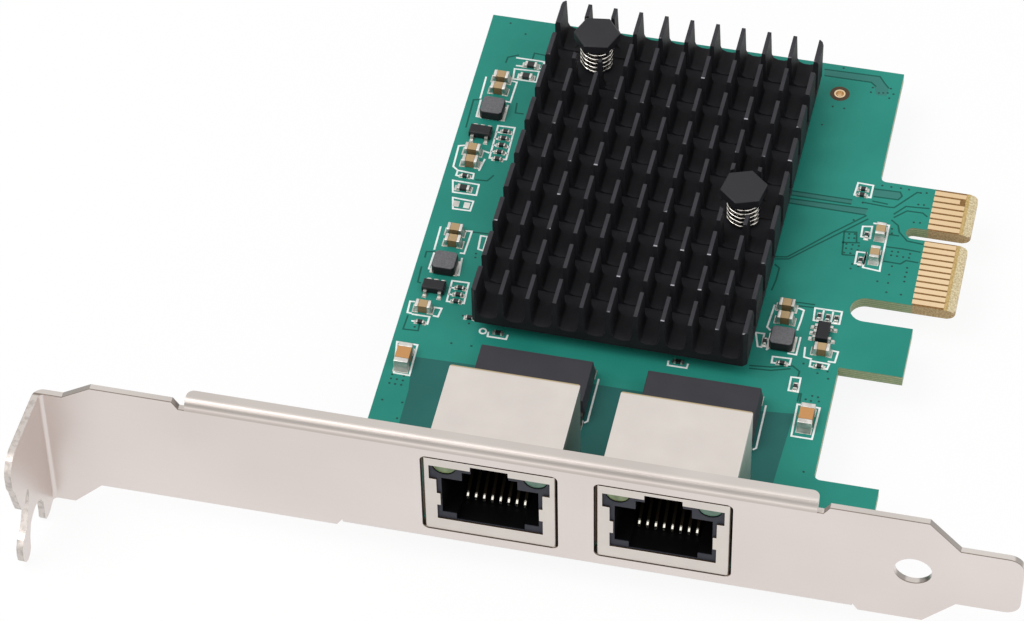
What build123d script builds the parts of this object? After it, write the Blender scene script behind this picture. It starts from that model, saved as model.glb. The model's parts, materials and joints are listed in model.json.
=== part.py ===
"""Dual-port x1 network card on a full-height slot bracket, with a pin-fin heat sink.

Laid out in millimetres: X runs along the bracket from the screw tab to the tail, Y from the
bracket's face into the card, and Z up from the board's component side. Every piece is written in
the card's own frame, whose origin is the middle of the key slot at the tip of the contact edge,
halfway through the board.
"""
import os
from math import cos, hypot, radians, sin

from build123d import *

# Board
board_t = 1.57
board_left = 36.6
board_front = 1.6
board_back = 87.3
board_right = 92.4
foot_right = 100.5
corner_front = 17.0
foot_front = 35.3
inside_r = 0.8

# Contact edge
contact_pitch = 1.0
contact_w = 0.72
contact_t = 0.04
contacts_before_key = 11
contacts_after_key = 7
key_pitch = 3.0
key_w = 1.9
key_depth = 8.2
first_contact = 48.0
edge_margin = 0.65
edge_tip = 105.28
edge_tip_r = 1.0
bevel_l = 1.05
bevel_h = 0.4
contact_start = 5.6
contact_end = 1.5
short_contact = 17
short_by = 0.7
retention_w = 3.9
retention_end = 13.1

# Bracket sheet
sheet_t = 0.86
bracket_l = 120.02
bracket_w = 18.42
plate_low = -2.17
bend_in = 0.55
tab_depth = 11.43
tab_lean = 2.0
tab_corner = 9.0
tab_root = 0.6
tab_edge = (
    (10.4, 13.3), (11.2, 12.2), (11.6, 10.6), (11.6, 9.6), (10.95, 7.9), (10.45, 5.6),
    (9.85, 3.4), (9.45, 2.9), (9.0, 2.8), (8.6, 3.2), (8.0, 4.05), (7.5, 4.35), (7.1, 4.2), (7.05, 3.6),
    (7.25, 2.6), (7.93, 1.2), (8.63, -0.1), (9.4, -1.1), (10.6, -1.7), (11.2, -2.6), (11.4, -3.8),
    (11.3, -4.9), (10.8, -5.7), (10.1, -6.05), (9.4, -5.85), (8.88, -5.3), (8.59, -3.4), (7.85, -1.7),
    (6.9, -1.1), (5.87, -0.84), (5.0, -1.0), (4.0, -1.7), (3.4, -2.9), (3.35, -4.9), (3.5, -5.9),
    (3.2, -6.5), (2.6, -6.7), (1.8, -6.6),
)
fold_high = 13.8
fold_low = -6.1
offset_near = 2.8
offset_far = 6.5
shoulder_x = 108.5
tail_x = 112.4
tail_high = 11.95
tail_low = 2.0
tail_r = 1.9
tail_hole_x = 107.0
tail_hole_z = 6.97
tail_hole_r = 2.3
top_flange_l = 18.2
top_flange_r = 95.2
flange_d = 2.4
relief_w = 1.5
relief_h = 1.2
bottom_flange_d = 3.4
ear_w = 8.2
ear_d = 10.6
ear_inset = 0.5

# Bracket screws
screw_r = 1.5
screw_head_r = 2.75
screw_head_h = 1.7
screw_tip = 1.2
screw_y = 6.6
screw_play = 0.1
thread_depth = 0.3

# Ports
jack_x = (55.62, 76.83)
window_w = 16.84
window_low = 0.03
window_high = 13.8
window_r = 0.8
shield_gap = 0.32
shield_low = 0.1
shield_high = 13.4
shield_front = 0.12
shield_d = 14.9
shield_t = 0.25
fit_gap = 0.05
plug_hw = 5.95
plug_low = 3.2
plug_high = 9.65
latch_hw = 3.4
latch_high = 11.2
slot_hw = 2.3
slot_high = 12.85
channel_hw = 4.2
channel_low = 2.15
cavity_d = 12.8
mouth_hw = 6.5
side_tab_hw = 6.05
side_tab_low = 4.75
side_tab_high = 6.95
pocket_hw = 7.4
pocket_low = 9.55
lip_z = 12.05
lamp_x = 5.6
lamp_z = 11.85
lamp_r = 1.42
lamp_flat = 12.6
lamp_l = 5.0
lamp_back = 0.25
peg_x = 5.72
peg_y = 8.9
peg_r = 1.6
peg_l = 1.1
shield_leg_w = 1.6
shield_leg_y = 6.2
leg_tip = 1.3
wire_pitch = 1.016
wire_n = 8
wire_w = 0.36
wire_t = 0.28
wire_front = 3.6
wire_back = 10.4
wire_rise = 6.4
tail_y = (10.9, 12.3)
tail_tip = 1.0
drill_play = 0.18

# Port transformers
trafo_l = 14.7
trafo_w = 7.0
trafo_h = 3.6
trafo_off = 0.25
trafo_shift = 0.05
trafo_y = 20.3
trafo_draft = 0.22
trafo_pins = 12
trafo_pin_pitch = 1.27
lead_w = 0.42
lead_t = 0.2
lead_reach = 1.35
lead_foot = 0.75

# Heat sink
sink_low = 2.2
sink_h = 6.1
sink_middle = (64.1, 57.46)
sink_turn = -0.75
sink_corner = 0.5
fin_n = 11
fin_pitch = 3.44
row_n = 9
row_pitch = 6.0
row_cut = 1.85
tip_t = 0.5
root_t = 0.86
root_r = 0.9
end_fin_t = 0.42
end_fin_drop = 0.4
valley_z = 1.2
cut_floor = 1.05
clearing_r = 4.0

# Push pins
pin_spots = ((52.75, 78.0), (76.55, 54.85))
pin_head_af = 5.3
pin_head_t = 1.35
pin_head_z = 9.2
pin_turn = (8.0, 19.0)
pin_r = 1.3
pin_hole_r = 1.6
pin_barb_r = 1.85
pin_barb_l = 0.9
pin_tip_r = 0.7
pin_tip_l = 3.0
pin_slit = 0.6
seat_gap = 0.03
spring_r = 2.02
spring_wire = 0.42
spring_turns = 5.25
spring_steps = 14

# Chips under the heat sink
switch_chip = (64.5, 66.4, 10.0)
controller_chips = ((56.2, 42.6, 6.0), (76.2, 42.6, 6.0))
chip_h = 0.9
crystal_spots = ((60.2, 35.2), (70.4, 35.2))
crystal_size = (3.2, 2.5, 0.7)

# Small parts on the board
inductor_spots = ((40.45, 69.6), (40.4, 41.75), (84.75, 37.9))
inductor_w = 3.0
inductor_h = 1.5
inductor_cut = 0.35
regulator_spots = ((39.75, 65.4, 0), (39.85, 37.8, 0), (89.55, 40.2, 90))
regulator_size = (2.9, 1.6, 1.1)
regulator_pitch = 0.95
small_cap_size = (2.0, 1.25, 1.25)
small_cap_spots = (
    (40.3, 75.6, 0), (40.35, 73.5, 0), (39.45, 62.0, 0), (39.6, 59.9, 0), (40.35, 47.75, 0),
    (40.5, 45.85, 0), (39.3, 34.2, 0), (93.9, 58.5, 90), (93.8, 54.4, 90), (84.35, 43.7, 0),
    (84.5, 41.55, 0), (89.9, 37.3, 0),
)
large_cap_size = (3.3, 1.85, 1.6)
large_cap_spots = ((38.8, 25.5, 90), (89.9, 25.9, 90))
resistor_size = (1.6, 0.82, 0.5)
resistor_spots = ((43.6, 78.9, 0), (43.4, 76.75, 0), (39.7, 55.45, 0))
tiny_size = (1.0, 0.52, 0.4)
tiny_column_x = 42.9
tiny_column_y = 61.4
tiny_column_step = 1.25
tiny_column_n = 5
tiny_stack = (43.1, 36.25, 1.15, 3)
tiny_row = (88.6, 43.0, 1.1, 3)
tiny_spots = (
    (39.4, 57.6, 0), (39.4, 31.95, 0), (90.5, 65.7, 0), (90.5, 64.65, 0), (92.2, 57.85, 90),
    (92.15, 53.4, 90), (85.35, 34.45, 0), (90.0, 34.85, 0), (87.65, 31.0, 90), (82.6, 37.5, 90),
    (45.4, 33.9, 0),
)
terminal_share = 0.22

# Tooling hole
tooling_hole = (84.65, 82.1)
tooling_hole_r = 0.55

# Worked out from the sizes above
bend_out = bend_in + sheet_t
plate_high = plate_low + bracket_w
last_contact = first_contact + (contacts_before_key + contacts_after_key - 2) * contact_pitch + key_pitch
key_y = first_contact + (contacts_before_key - 1) * contact_pitch + key_pitch / 2
edge_low = first_contact - edge_margin
edge_high = last_contact + edge_margin
shield_w = window_w - 2 * shield_gap
shield_back = shield_front + shield_d
sink_w = (fin_n - 1) * fin_pitch + 2 * end_fin_t
sink_l = row_n * row_pitch - row_cut
card_origin = (edge_tip, key_y, -board_t / 2)
parts = {}


def keep(name, shape):
    """Move a finished piece into the card's own frame and hold it under its node name."""
    x, y, z = card_origin
    parts[name] = Pos(-x, -y, -z) * shape


def block(x0, x1, y0, y1, z0, z1):
    """A box between two corners."""
    return Pos(x0, y0, z0) * Box(x1 - x0, y1 - y0, z1 - z0, align=(Align.MIN, Align.MIN, Align.MIN))


def rod(x, y, z0, z1, radius):
    """An upright cylinder between two heights."""
    return Pos(x, y, z0) * Cylinder(radius, z1 - z0, align=(Align.CENTER, Align.CENTER, Align.MIN))


def slab(outline, z0, z1):
    """A flat outline in X and Y, raised between two heights."""
    return Pos(0, 0, z0) * extrude(outline, z1 - z0)


def strip(points, width):
    """A closed outline in Y and Z, centred on X = 0 and as wide as given."""
    face = Plane.YZ * make_face(Polyline(*points, close=True))
    return Pos(-width / 2, 0, 0) * extrude(face, width)


def soften(sketch, spots, radius):
    """Round the corners of a sketch that lie at the given spots."""
    near = [v for v in sketch.vertices() if any(hypot(v.X - x, v.Y - y) < 0.05 for x, y in spots)]
    return fillet(near, radius)


def board_outline():
    """The board's stepped outline with its contact edge, key slot and retention slot."""
    slot_low = edge_low - retention_w
    points = [
        (board_left, board_front),
        (board_left, board_back),
        (board_right, board_back),
        (board_right, edge_high),
        (edge_tip, edge_high),
        (edge_tip, slot_low),
        (foot_right, slot_low),
        (foot_right, foot_front),
        (board_right, foot_front),
        (board_right, corner_front),
        (foot_right, corner_front),
        (foot_right, board_front),
    ]
    outline = make_face(Polyline(*points, close=True))
    outline = soften(outline, [(board_right, edge_high), (board_right, corner_front)], inside_r)
    slot_l = retention_end + retention_w
    slot = Pos(edge_tip - retention_end + slot_l / 2, edge_low - retention_w / 2)
    outline -= slot * SlotOverall(slot_l, retention_w)
    key_l = 2 * key_depth
    outline -= Pos(edge_tip - key_depth + key_l / 2, key_y) * SlotOverall(key_l, key_w)
    tips = [(edge_tip, edge_high), (edge_tip, edge_low)]
    tips += [(edge_tip, key_y + key_w / 2), (edge_tip, key_y - key_w / 2)]
    return soften(outline, tips, edge_tip_r * 0.6)


def wire_spots(x):
    """The two staggered rows where a port's wires go through the board."""
    first = x - (wire_n - 1) * wire_pitch / 2
    return [(first + i * wire_pitch, tail_y[i % 2]) for i in range(wire_n)]


def screw_spots():
    """The two bracket screws, near the corners of the board."""
    inset = ear_inset + ear_w / 2
    return [(board_left + inset, screw_y), (foot_right - inset, screw_y)]


def make_board():
    board = slab(board_outline(), -board_t, 0)
    for side in (0, -board_t):
        sign = 1 if side == 0 else -1
        wedge = Polyline(
            (edge_tip + 1, side + sign),
            (edge_tip - bevel_l, side + sign),
            (edge_tip - bevel_l, side),
            (edge_tip, side - sign * bevel_h),
            (edge_tip + 1, side - sign * bevel_h),
            close=True,
        )
        board -= Pos(0, edge_high + 1, 0) * extrude(Plane.XZ * make_face(wedge), edge_high - edge_low + 2)
    drills = [(x, y, screw_r + screw_play) for x, y in screw_spots()]
    drills += [(x, y, pin_hole_r) for x, y in pin_spots]
    drills.append((*tooling_hole, tooling_hole_r))
    for x in jack_x:
        drills += [(x + s * peg_x, peg_y, peg_r + fit_gap) for s in (-1, 1)]
    for x, y, radius in drills:
        board -= rod(x, y, -board_t - 1, 1, radius)
    half = wire_w / 2 + drill_play
    for x in jack_x:
        for px, py in wire_spots(x):
            board -= block(px - half, px + half, py - half, py + half, -board_t - 1, 1)
        for s in (-1, 1):
            leg = x + s * (shield_w - shield_t) / 2
            side = shield_t / 2 + drill_play
            low = shield_leg_y - drill_play
            board -= block(leg - side, leg + side, low, low + shield_leg_w + 2 * drill_play, -board_t - 1, 1)
    keep("circuit_board", board)


def make_contacts():
    """Gold pads on both sides, with the short one second from the end."""
    start = edge_tip - contact_start
    for name, low in (("edge_contacts_top", 0), ("edge_contacts_bottom", -board_t - contact_t)):
        pads = []
        for i in range(contacts_before_key + contacts_after_key):
            past_key = i >= contacts_before_key
            y = first_contact + i * contact_pitch + (key_pitch - contact_pitch) * past_key
            end = edge_tip - contact_end - short_by * (i + 1 == short_contact)
            pads.append(block(start, end, y - contact_w / 2, y + contact_w / 2, low, low + contact_t))
        keep(name, Compound(children=pads))


def flange(x0, x1, depth, edge, up):
    """A strip bent back from the plate's edge: up is 1 at the top edge and -1 at the bottom one."""
    turn = edge - up * bend_out
    mid = cos(radians(45))
    outer = ThreePointArc(
        (0, turn), (bend_out * (1 - mid), turn + up * bend_out * mid), (bend_out, edge)
    )
    inner = ThreePointArc(
        (bend_out, edge - up * sheet_t),
        (bend_out - bend_in * mid, turn + up * bend_in * mid),
        (sheet_t, turn),
    )
    lines = [
        outer,
        Line((bend_out, edge), (depth, edge)),
        Line((depth, edge), (depth, edge - up * sheet_t)),
        Line((depth, edge - up * sheet_t), (bend_out, edge - up * sheet_t)),
        inner,
        Line((sheet_t, turn), (0, turn)),
    ]
    return Pos(x0, 0, 0) * extrude(Plane.YZ * make_face(lines), x1 - x0)


def plate_outline(bottom_l, bottom_r):
    """The plate in X and Z, with relief cuts beside each bent flange."""
    top_cut = plate_high - relief_h
    top_bend = plate_high - bend_out
    low_bend = -board_t - sheet_t + bend_out
    points = [
        (bend_out - sheet_t, fold_high),
        (offset_near, fold_high),
        (offset_far, plate_high),
        (top_flange_l - relief_w, plate_high),
        (top_flange_l - relief_w / 2, top_cut),
        (top_flange_l, top_cut),
        (top_flange_l, top_bend),
        (top_flange_r, top_bend),
        (top_flange_r, top_cut),
        (top_flange_r + relief_w / 2, top_cut),
        (top_flange_r + relief_w, plate_high),
        (shoulder_x, plate_high),
        (tail_x, tail_high),
        (bracket_l, tail_high),
        (bracket_l, tail_low),
        (tail_x, tail_low),
        (shoulder_x, plate_low),
        (bottom_r + relief_w / 2, plate_low),
        (bottom_r, low_bend),
        (bottom_l, low_bend),
        (bottom_l - relief_w / 2, plate_low),
        (offset_far, plate_low),
        (offset_near, fold_low),
        (bend_out - sheet_t, fold_low),
    ]
    outline = make_face(Polyline(*points, close=True))
    return soften(outline, [(bracket_l, tail_high), (bracket_l, tail_low)], tail_r)


def leaning_tab():
    """The fold and the screw tab past it, whose seat faces the tail, with its two notches."""
    end = radians(180 - tab_lean)
    middle = radians(90 + (90 - tab_lean) / 2)
    centre = (bend_out - sheet_t, -bend_in)

    def on_arc(radius, angle):
        return (centre[0] + radius * cos(angle), centre[1] + radius * sin(angle))

    along = (-sin(radians(tab_lean)), -cos(radians(tab_lean)))
    reach = (tab_depth - bend_in + bend_in * sin(end)) / cos(radians(tab_lean))
    inner_end = on_arc(bend_in, end)
    outer_end = on_arc(bend_out, end)
    inner_tip = (inner_end[0] + along[0] * reach, inner_end[1] + along[1] * reach)
    outer_tip = (outer_end[0] + along[0] * reach, outer_end[1] + along[1] * reach)
    lines = [
        ThreePointArc(on_arc(bend_in, radians(90)), on_arc(bend_in, middle), inner_end),
        Line(inner_end, inner_tip),
        Line(inner_tip, outer_tip),
        Line(outer_tip, outer_end),
        ThreePointArc(outer_end, on_arc(bend_out, middle), on_arc(bend_out, radians(90))),
        Line(on_arc(bend_out, radians(90)), on_arc(bend_in, radians(90))),
    ]
    low = min(z for d, z in tab_edge)
    folded = Pos(0, 0, low) * extrude(make_face(lines), fold_high - low)
    face = Plane(origin=(0, 0, 0), x_dir=(along[0], along[1], 0), z_dir=(along[1], -along[0], 0))
    behind = -2 * sheet_t
    top = [(behind, fold_high), (tab_corner, fold_high)]
    bottom = [(tab_root, fold_low), (behind, fold_low)]
    blank = make_face(Polyline(*top, *tab_edge, *bottom, close=True))
    return folded & extrude(face * blank, 4 * sheet_t, both=True)


def make_bracket():
    bottom_edge = -board_t - sheet_t
    bottom_l = board_left + ear_inset
    bottom_r = foot_right - ear_inset
    plate = Pos(0, sheet_t, 0) * extrude(Plane.XZ * plate_outline(bottom_l, bottom_r), sheet_t)
    bracket = plate + flange(top_flange_l, top_flange_r, flange_d, plate_high, 1)
    bracket += flange(bottom_l, bottom_r, bottom_flange_d, bottom_edge, -1)
    for x, y in screw_spots():
        ear = block(x - ear_w / 2, x + ear_w / 2, bottom_flange_d, ear_d, bottom_edge, -board_t)
        corners = ear.edges().filter_by(Axis.Z).sort_by(Axis.Y)[-2:]
        bracket += fillet(corners, ear_w / 4)
        bracket -= rod(x, y, bottom_edge - 1, 0, screw_r + fit_gap)
    bracket += leaning_tab()
    for x in jack_x:
        window = RectangleRounded(window_w, window_high - window_low, window_r)
        middle = (window_high + window_low) / 2
        bracket -= Pos(x, sheet_t + 1, middle) * extrude(Plane.XZ * window, sheet_t + 2)
    hole = Pos(tail_hole_x, sheet_t + 1, tail_hole_z) * extrude(Plane.XZ * Circle(tail_hole_r), sheet_t + 2)
    keep("bracket", bracket - hole)


def make_screws():
    """Pan-head screws from the component side into the bracket's ears."""
    screws = []
    for x, y in screw_spots():
        head = rod(x, y, 0, screw_head_h, screw_head_r)
        head = chamfer(head.edges().sort_by(Axis.Z)[-1:], screw_head_h / 3)
        for turn in (0, 90):
            slot = Rot(0, 0, turn) * Box(screw_head_r * 1.1, screw_head_r * 0.22, screw_head_h)
            head -= Pos(x, y, screw_head_h + screw_head_h * 0.1) * slot
        tip = -board_t - sheet_t - screw_tip
        shank = rod(x, y, tip, 0, screw_r)
        shank = chamfer(shank.edges().sort_by(Axis.Z)[:1], thread_depth)
        screws.append(head + shank)
    keep("bracket_screws", Compound(children=screws))


def mouth_outline():
    """The opening in a shield's face, in X and Z about the port's middle line."""
    half = [
        (mouth_hw, channel_low),
        (mouth_hw, side_tab_low),
        (side_tab_hw, side_tab_low),
        (side_tab_hw, side_tab_high),
        (mouth_hw, side_tab_high),
        (mouth_hw, pocket_low),
        (pocket_hw, pocket_low),
        (pocket_hw, lip_z),
        (slot_hw, lip_z),
        (slot_hw, slot_high),
    ]
    mirrored = [(-x, z) for x, z in reversed(half)]
    return make_face(Polyline(*half, *mirrored, close=True))


def make_shield(x):
    hw = shield_w / 2
    can = block(x - hw, x + hw, shield_front, shield_back, shield_low, shield_high)
    upright = can.edges().filter_by(Axis.Z)
    can = fillet(upright, shield_t * 1.2)
    can -= block(
        x - hw + shield_t, x + hw - shield_t, shield_front + shield_t, shield_back - shield_t,
        shield_low - 1, shield_high - shield_t,
    )
    mouth = extrude(Plane.XZ * mouth_outline(), shield_t * 4, both=True)
    can -= Pos(x, shield_front, 0) * mouth
    for s in (-1, 1):
        inner = x + s * (hw - shield_t)
        outer = x + s * hw
        tip = -board_t - leg_tip
        can += block(
            min(inner, outer), max(inner, outer), shield_leg_y, shield_leg_y + shield_leg_w, tip, shield_low
        )
    return can


def make_housing(x):
    """The moulded insert: plug cavity with its latch steps, wire slots, lamp pockets and pegs."""
    wall = shield_w / 2 - shield_t - fit_gap
    front = shield_front + shield_t + fit_gap
    back = shield_back - shield_t - fit_gap
    low = fit_gap
    body = block(x - wall, x + wall, front, back, low, shield_high - shield_t - fit_gap)
    deep = front + cavity_d
    cavity = block(x - plug_hw, x + plug_hw, front - 1, deep, plug_low, plug_high)
    cavity += block(x - latch_hw, x + latch_hw, front - 1, deep, plug_low, latch_high)
    cavity += block(x - slot_hw, x + slot_hw, front - 1, deep, plug_low, slot_high)
    cavity += block(x - channel_hw, x + channel_hw, front - 1, deep, channel_low, plug_low + fit_gap)
    body -= cavity
    for s in (-1, 1):
        body -= lamp(x + s * lamp_x, fit_gap, front - 1)
        body += rod(x + s * peg_x, peg_y, -board_t - peg_l, low + fit_gap, peg_r)
    for px, py in wire_spots(x):
        half = wire_w / 2 + fit_gap
        body -= block(px - half, px + half, py - half, py + half, low - 1, channel_low + fit_gap)
    return body


def lamp(x, grow, front):
    """A lamp lens: a round rod with a flat top, under the lip of the shield."""
    under_lip = Rectangle(4 * lamp_r, 2 * (lamp_flat - lamp_z + lamp_r) + grow)
    lens = Circle(lamp_r + grow) & Pos(0, -lamp_r) * under_lip
    back = shield_front + shield_t + lamp_back + lamp_l + grow
    return Pos(x, back, lamp_z) * extrude(Plane.XZ * lens, back - front)


def wire_profile(tail):
    """One sprung wire seen from the side: up from the board, along the floor, round and back up."""
    floor = channel_low + fit_gap
    top = floor + wire_t
    nose = 2.6 * wire_t
    half = wire_w / 2
    tip = -board_t - tail_tip
    return [
        (tail + half, tip),
        (tail + half, top),
        (wire_front + wire_t, top),
        (wire_front + wire_t, floor + nose),
        (wire_back, wire_rise),
        (wire_back, wire_rise + wire_t),
        (wire_front + wire_t, floor + nose + wire_t),
        (wire_front, floor + nose),
        (wire_front, floor + wire_t / 2),
        (wire_front + wire_t / 2, floor),
        (tail - half, floor),
        (tail - half, tip),
    ]


def make_wires(x):
    wires = [Pos(px, 0, 0) * strip(wire_profile(py), wire_w) for px, py in wire_spots(x)]
    return Compound(children=wires)


def make_jacks():
    for number, x in enumerate(jack_x, 1):
        keep(f"jack_{number}_shield", make_shield(x))
        keep(f"jack_{number}_housing", make_housing(x))
        keep(f"jack_{number}_contacts", make_wires(x))
        front = shield_front + shield_t + lamp_back
        for side, s in (("left", -1), ("right", 1)):
            keep(f"jack_{number}_led_{side}", lamp(x + s * lamp_x, 0, front))


def gull_wing(height):
    """A lead seen from the side: out of the body, down and out along the board."""
    out = lead_reach - lead_foot
    return [
        (0, height),
        (out, height),
        (out + lead_t, lead_t),
        (lead_reach, lead_t),
        (lead_reach, 0),
        (out, 0),
        (out - lead_t, height - lead_t),
        (0, height - lead_t),
    ]


def make_transformers():
    for number, x in enumerate(jack_x, 1):
        x = x + trafo_shift
        low = trafo_off
        middle = Pos(x, trafo_y + trafo_w / 2, 0)
        foot = Pos(0, 0, low) * Rectangle(trafo_l - trafo_draft, trafo_w - trafo_draft)
        waist = Pos(0, 0, trafo_h * 0.4) * Rectangle(trafo_l, trafo_w)
        top = Pos(0, 0, trafo_h) * Rectangle(trafo_l - 2 * trafo_draft, trafo_w - 2 * trafo_draft)
        body = loft(Sketch() + [foot, waist]) + loft(Sketch() + [waist, top])
        keep(f"transformer_{number}", middle * body)
        leads = []
        for i in range(trafo_pins):
            px = x + (i - (trafo_pins - 1) / 2) * trafo_pin_pitch
            wing = strip(gull_wing(trafo_h * 0.4 + lead_t), lead_w)
            leads.append(Pos(px, trafo_y + trafo_w, 0) * wing)
            leads.append(Pos(px, trafo_y, 0) * Rot(0, 0, 180) * wing)
        keep(f"transformer_{number}_leads", Compound(children=leads))


def fin_profile():
    """The sink's section across the fins: tapered fins, hollow-cornered valleys and upright ends."""
    top = sink_low + sink_h
    floor = sink_low + valley_z
    half = (fin_n - 1) * fin_pitch / 2
    end = half + end_fin_t
    flare = 0.3 * root_r
    points = [(-end, sink_low), (-end, top - end_fin_drop)]
    for i in range(fin_n):
        x = i * fin_pitch - half
        root = root_t / 2
        foot = [(root, floor + root_r), (root + flare, floor + flare), (root + root_r, floor)]
        if i > 0:
            points += [(x - dx, z) for dx, z in reversed(foot)]
        points += [(x - tip_t / 2, top), (x + tip_t / 2, top)]
        if i < fin_n - 1:
            points += [(x + dx, z) for dx, z in foot]
    points += [(end, top - end_fin_drop), (end, sink_low)]
    return make_face(Polyline(*points, close=True))


def make_heat_sink():
    """Extruded fins, sawn across into pins and milled clear round the two push pins."""
    sink = extrude(Plane.XZ * fin_profile(), sink_l / 2, both=True)
    top = sink_low + sink_h + 1
    plan = chamfer(Rectangle(sink_w, sink_l).vertices(), sink_corner)
    sink &= slab(plan, 0, top)
    for i in range(row_n - 1):
        y = (i + 1) * row_pitch - row_cut - sink_l / 2
        sink -= block(-sink_w, sink_w, y, y + row_cut, sink_low + cut_floor, top)
    sink = Pos(*sink_middle, 0) * Rot(0, 0, sink_turn) * sink
    for x, y in pin_spots:
        sink -= rod(x, y, sink_low + valley_z, top, clearing_r)
        sink -= rod(x, y, sink_low - 1, top, pin_hole_r)
    keep("heat_sink", sink)


def make_chips():
    """The chips under the heat sink, each with the soft pad that fills the gap above it."""
    pads = []

    def chip(x, y, w):
        body = block(x - w / 2, x + w / 2, y - w / 2, y + w / 2, 0, chip_h)
        pads.append(block(x - w / 2, x + w / 2, y - w / 2, y + w / 2, chip_h, sink_low))
        return chamfer(body.edges().group_by(Axis.Z)[-1], 0.08)

    keep("packet_switch_chip", chip(*switch_chip))
    keep("network_controller_chips", Compound(children=[chip(*spot) for spot in controller_chips]))
    keep("thermal_pads", Compound(children=pads))
    length, width, height = crystal_size
    cans = []
    for x, y in crystal_spots:
        can = block(x - length / 2, x + length / 2, y - width / 2, y + width / 2, 0, height)
        cans.append(chamfer(can.edges().filter_by(Axis.Z), 0.4))
    keep("crystals", Compound(children=cans))


def make_push_pins():
    """Black pins through the sink and the board, each pressed up by a coil spring under its head."""
    head_low = pin_head_z - pin_head_t
    floor = sink_low + valley_z
    for number, ((x, y), turn) in enumerate(zip(pin_spots, pin_turn), 1):
        hexagon = RegularPolygon(pin_head_af / 2, 6, major_radius=False, rotation=turn)
        head = Pos(0, 0, head_low) * extrude(hexagon, pin_head_t)
        head = chamfer(head.edges().group_by(Axis.Z)[-1], 0.15)
        catch = -board_t - seat_gap
        shaft = rod(0, 0, catch, head_low, pin_r)
        barb = Pos(0, 0, catch - pin_barb_l / 2) * Cylinder(pin_barb_r, pin_barb_l)
        nose = Pos(0, 0, catch - pin_barb_l - pin_tip_l / 2) * Cone(pin_tip_r, pin_barb_r, pin_tip_l)
        slit_h = pin_barb_l + pin_tip_l + board_t
        slit = Box(pin_slit, 3 * pin_barb_r, slit_h, align=(Align.CENTER, Align.CENTER, Align.MIN))
        pin = head + shaft + barb + nose - Pos(0, 0, catch - pin_barb_l - pin_tip_l) * slit
        keep(f"push_pin_{number}", Pos(x, y, 0) * pin)
        height = head_low - floor - spring_wire - 2 * seat_gap
        steps = round(spring_turns * spring_steps)
        turns = [radians(360 * i / spring_steps) for i in range(steps + 1)]
        path = Polyline(*[
            (spring_r * cos(turn), spring_r * sin(turn), height * i / steps) for i, turn in enumerate(turns)
        ])
        start = Plane(origin=path @ 0, z_dir=path % 0)
        coil = sweep(start * RegularPolygon(spring_wire / 2, 6), path=path, transition=Transition.RIGHT)
        keep(f"pin_spring_{number}", Pos(x, y, floor + spring_wire / 2 + seat_gap) * coil)


def make_inductors():
    bodies = []
    ends = []
    plate = 0.12
    for x, y in inductor_spots:
        core = block(-inductor_w / 2, inductor_w / 2, -inductor_w / 2, inductor_w / 2, plate, inductor_h)
        core = chamfer(core.edges().filter_by(Axis.Z), inductor_cut)
        core = chamfer(core.edges().group_by(Axis.Z)[-1], 0.12)
        bodies.append(Pos(x, y, 0) * core)
        for s in (-1, 1):
            end = Box(inductor_w * 0.3, inductor_w * 0.8, plate, align=(Align.CENTER, Align.CENTER, Align.MIN))
            ends.append(Pos(x + s * inductor_w * 0.38, y, 0) * end)
    keep("power_inductors", Compound(children=bodies))
    keep("inductor_terminals", Compound(children=ends))


def make_regulators():
    length, width, height = regulator_size
    bodies = []
    leads = []
    stand = 0.1
    for x, y, turn in regulator_spots:
        place = Pos(x, y, 0) * Rot(0, 0, turn)
        body = block(-length / 2, length / 2, -width / 2, width / 2, stand, height)
        bodies.append(place * chamfer(body.edges().group_by(Axis.Z)[-1], 0.15))
        wing = strip(gull_wing(height * 0.6), lead_w)
        wing = scale(wing, by=(1, 0.6, 1))
        for i in (-1, 0, 1):
            leads.append(place * Pos(i * regulator_pitch, width / 2, 0) * wing)
        for i in (-1, 1):
            leads.append(place * Pos(i * regulator_pitch, -width / 2, 0) * Rot(0, 0, 180) * wing)
    keep("regulators", Compound(children=bodies))
    keep("regulator_leads", Compound(children=leads))


def chip_parts(spots, size):
    """Bodies and end caps of two-ended surface parts: capacitors and resistors."""
    length, width, height = size
    end = length * terminal_share
    inset = 0.02
    bodies = []
    caps = []
    for x, y, turn in spots:
        place = Pos(x, y, 0) * Rot(0, 0, turn)
        half = length / 2 - end
        body = block(-half, half, -width / 2 + inset, width / 2 - inset, inset, height - inset)
        bodies.append(place * body)
        for low in (-length / 2, half):
            cap = block(low, low + end, -width / 2, width / 2, 0, height)
            caps.append(place * cap)
    return bodies, caps


def tiny_places():
    """Every tiny resistor: the column, the stack and the row by the regulators, and the odd ones."""
    spots = [(tiny_column_x, tiny_column_y + i * tiny_column_step, 0) for i in range(tiny_column_n)]
    x, y, step, count = tiny_stack
    spots += [(x, y + i * step, 0) for i in range(count)]
    x, y, step, count = tiny_row
    spots += [(x + i * step, y, 90) for i in range(count)]
    return spots + list(tiny_spots)


def make_chip_parts():
    groups = (
        ("small_capacitor", small_cap_spots, small_cap_size),
        ("large_capacitor", large_cap_spots, large_cap_size),
        ("resistor", resistor_spots, resistor_size),
        ("tiny_resistor", tiny_places(), tiny_size),
    )
    for name, spots, size in groups:
        bodies, caps = chip_parts(spots, size)
        keep(f"{name}_bodies", Compound(children=bodies))
        keep(f"{name}_ends", Compound(children=caps))


make_board()
make_contacts()
make_bracket()
make_screws()
make_jacks()
make_transformers()
make_heat_sink()
make_chips()
make_push_pins()
make_inductors()
make_regulators()
make_chip_parts()

os.makedirs("parts", exist_ok=True)
for name, shape in parts.items():
    export_step(shape, f"parts/{name}.step")
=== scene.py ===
import json
import math

import bmesh
import bpy
from mathutils import Matrix, Vector


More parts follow.
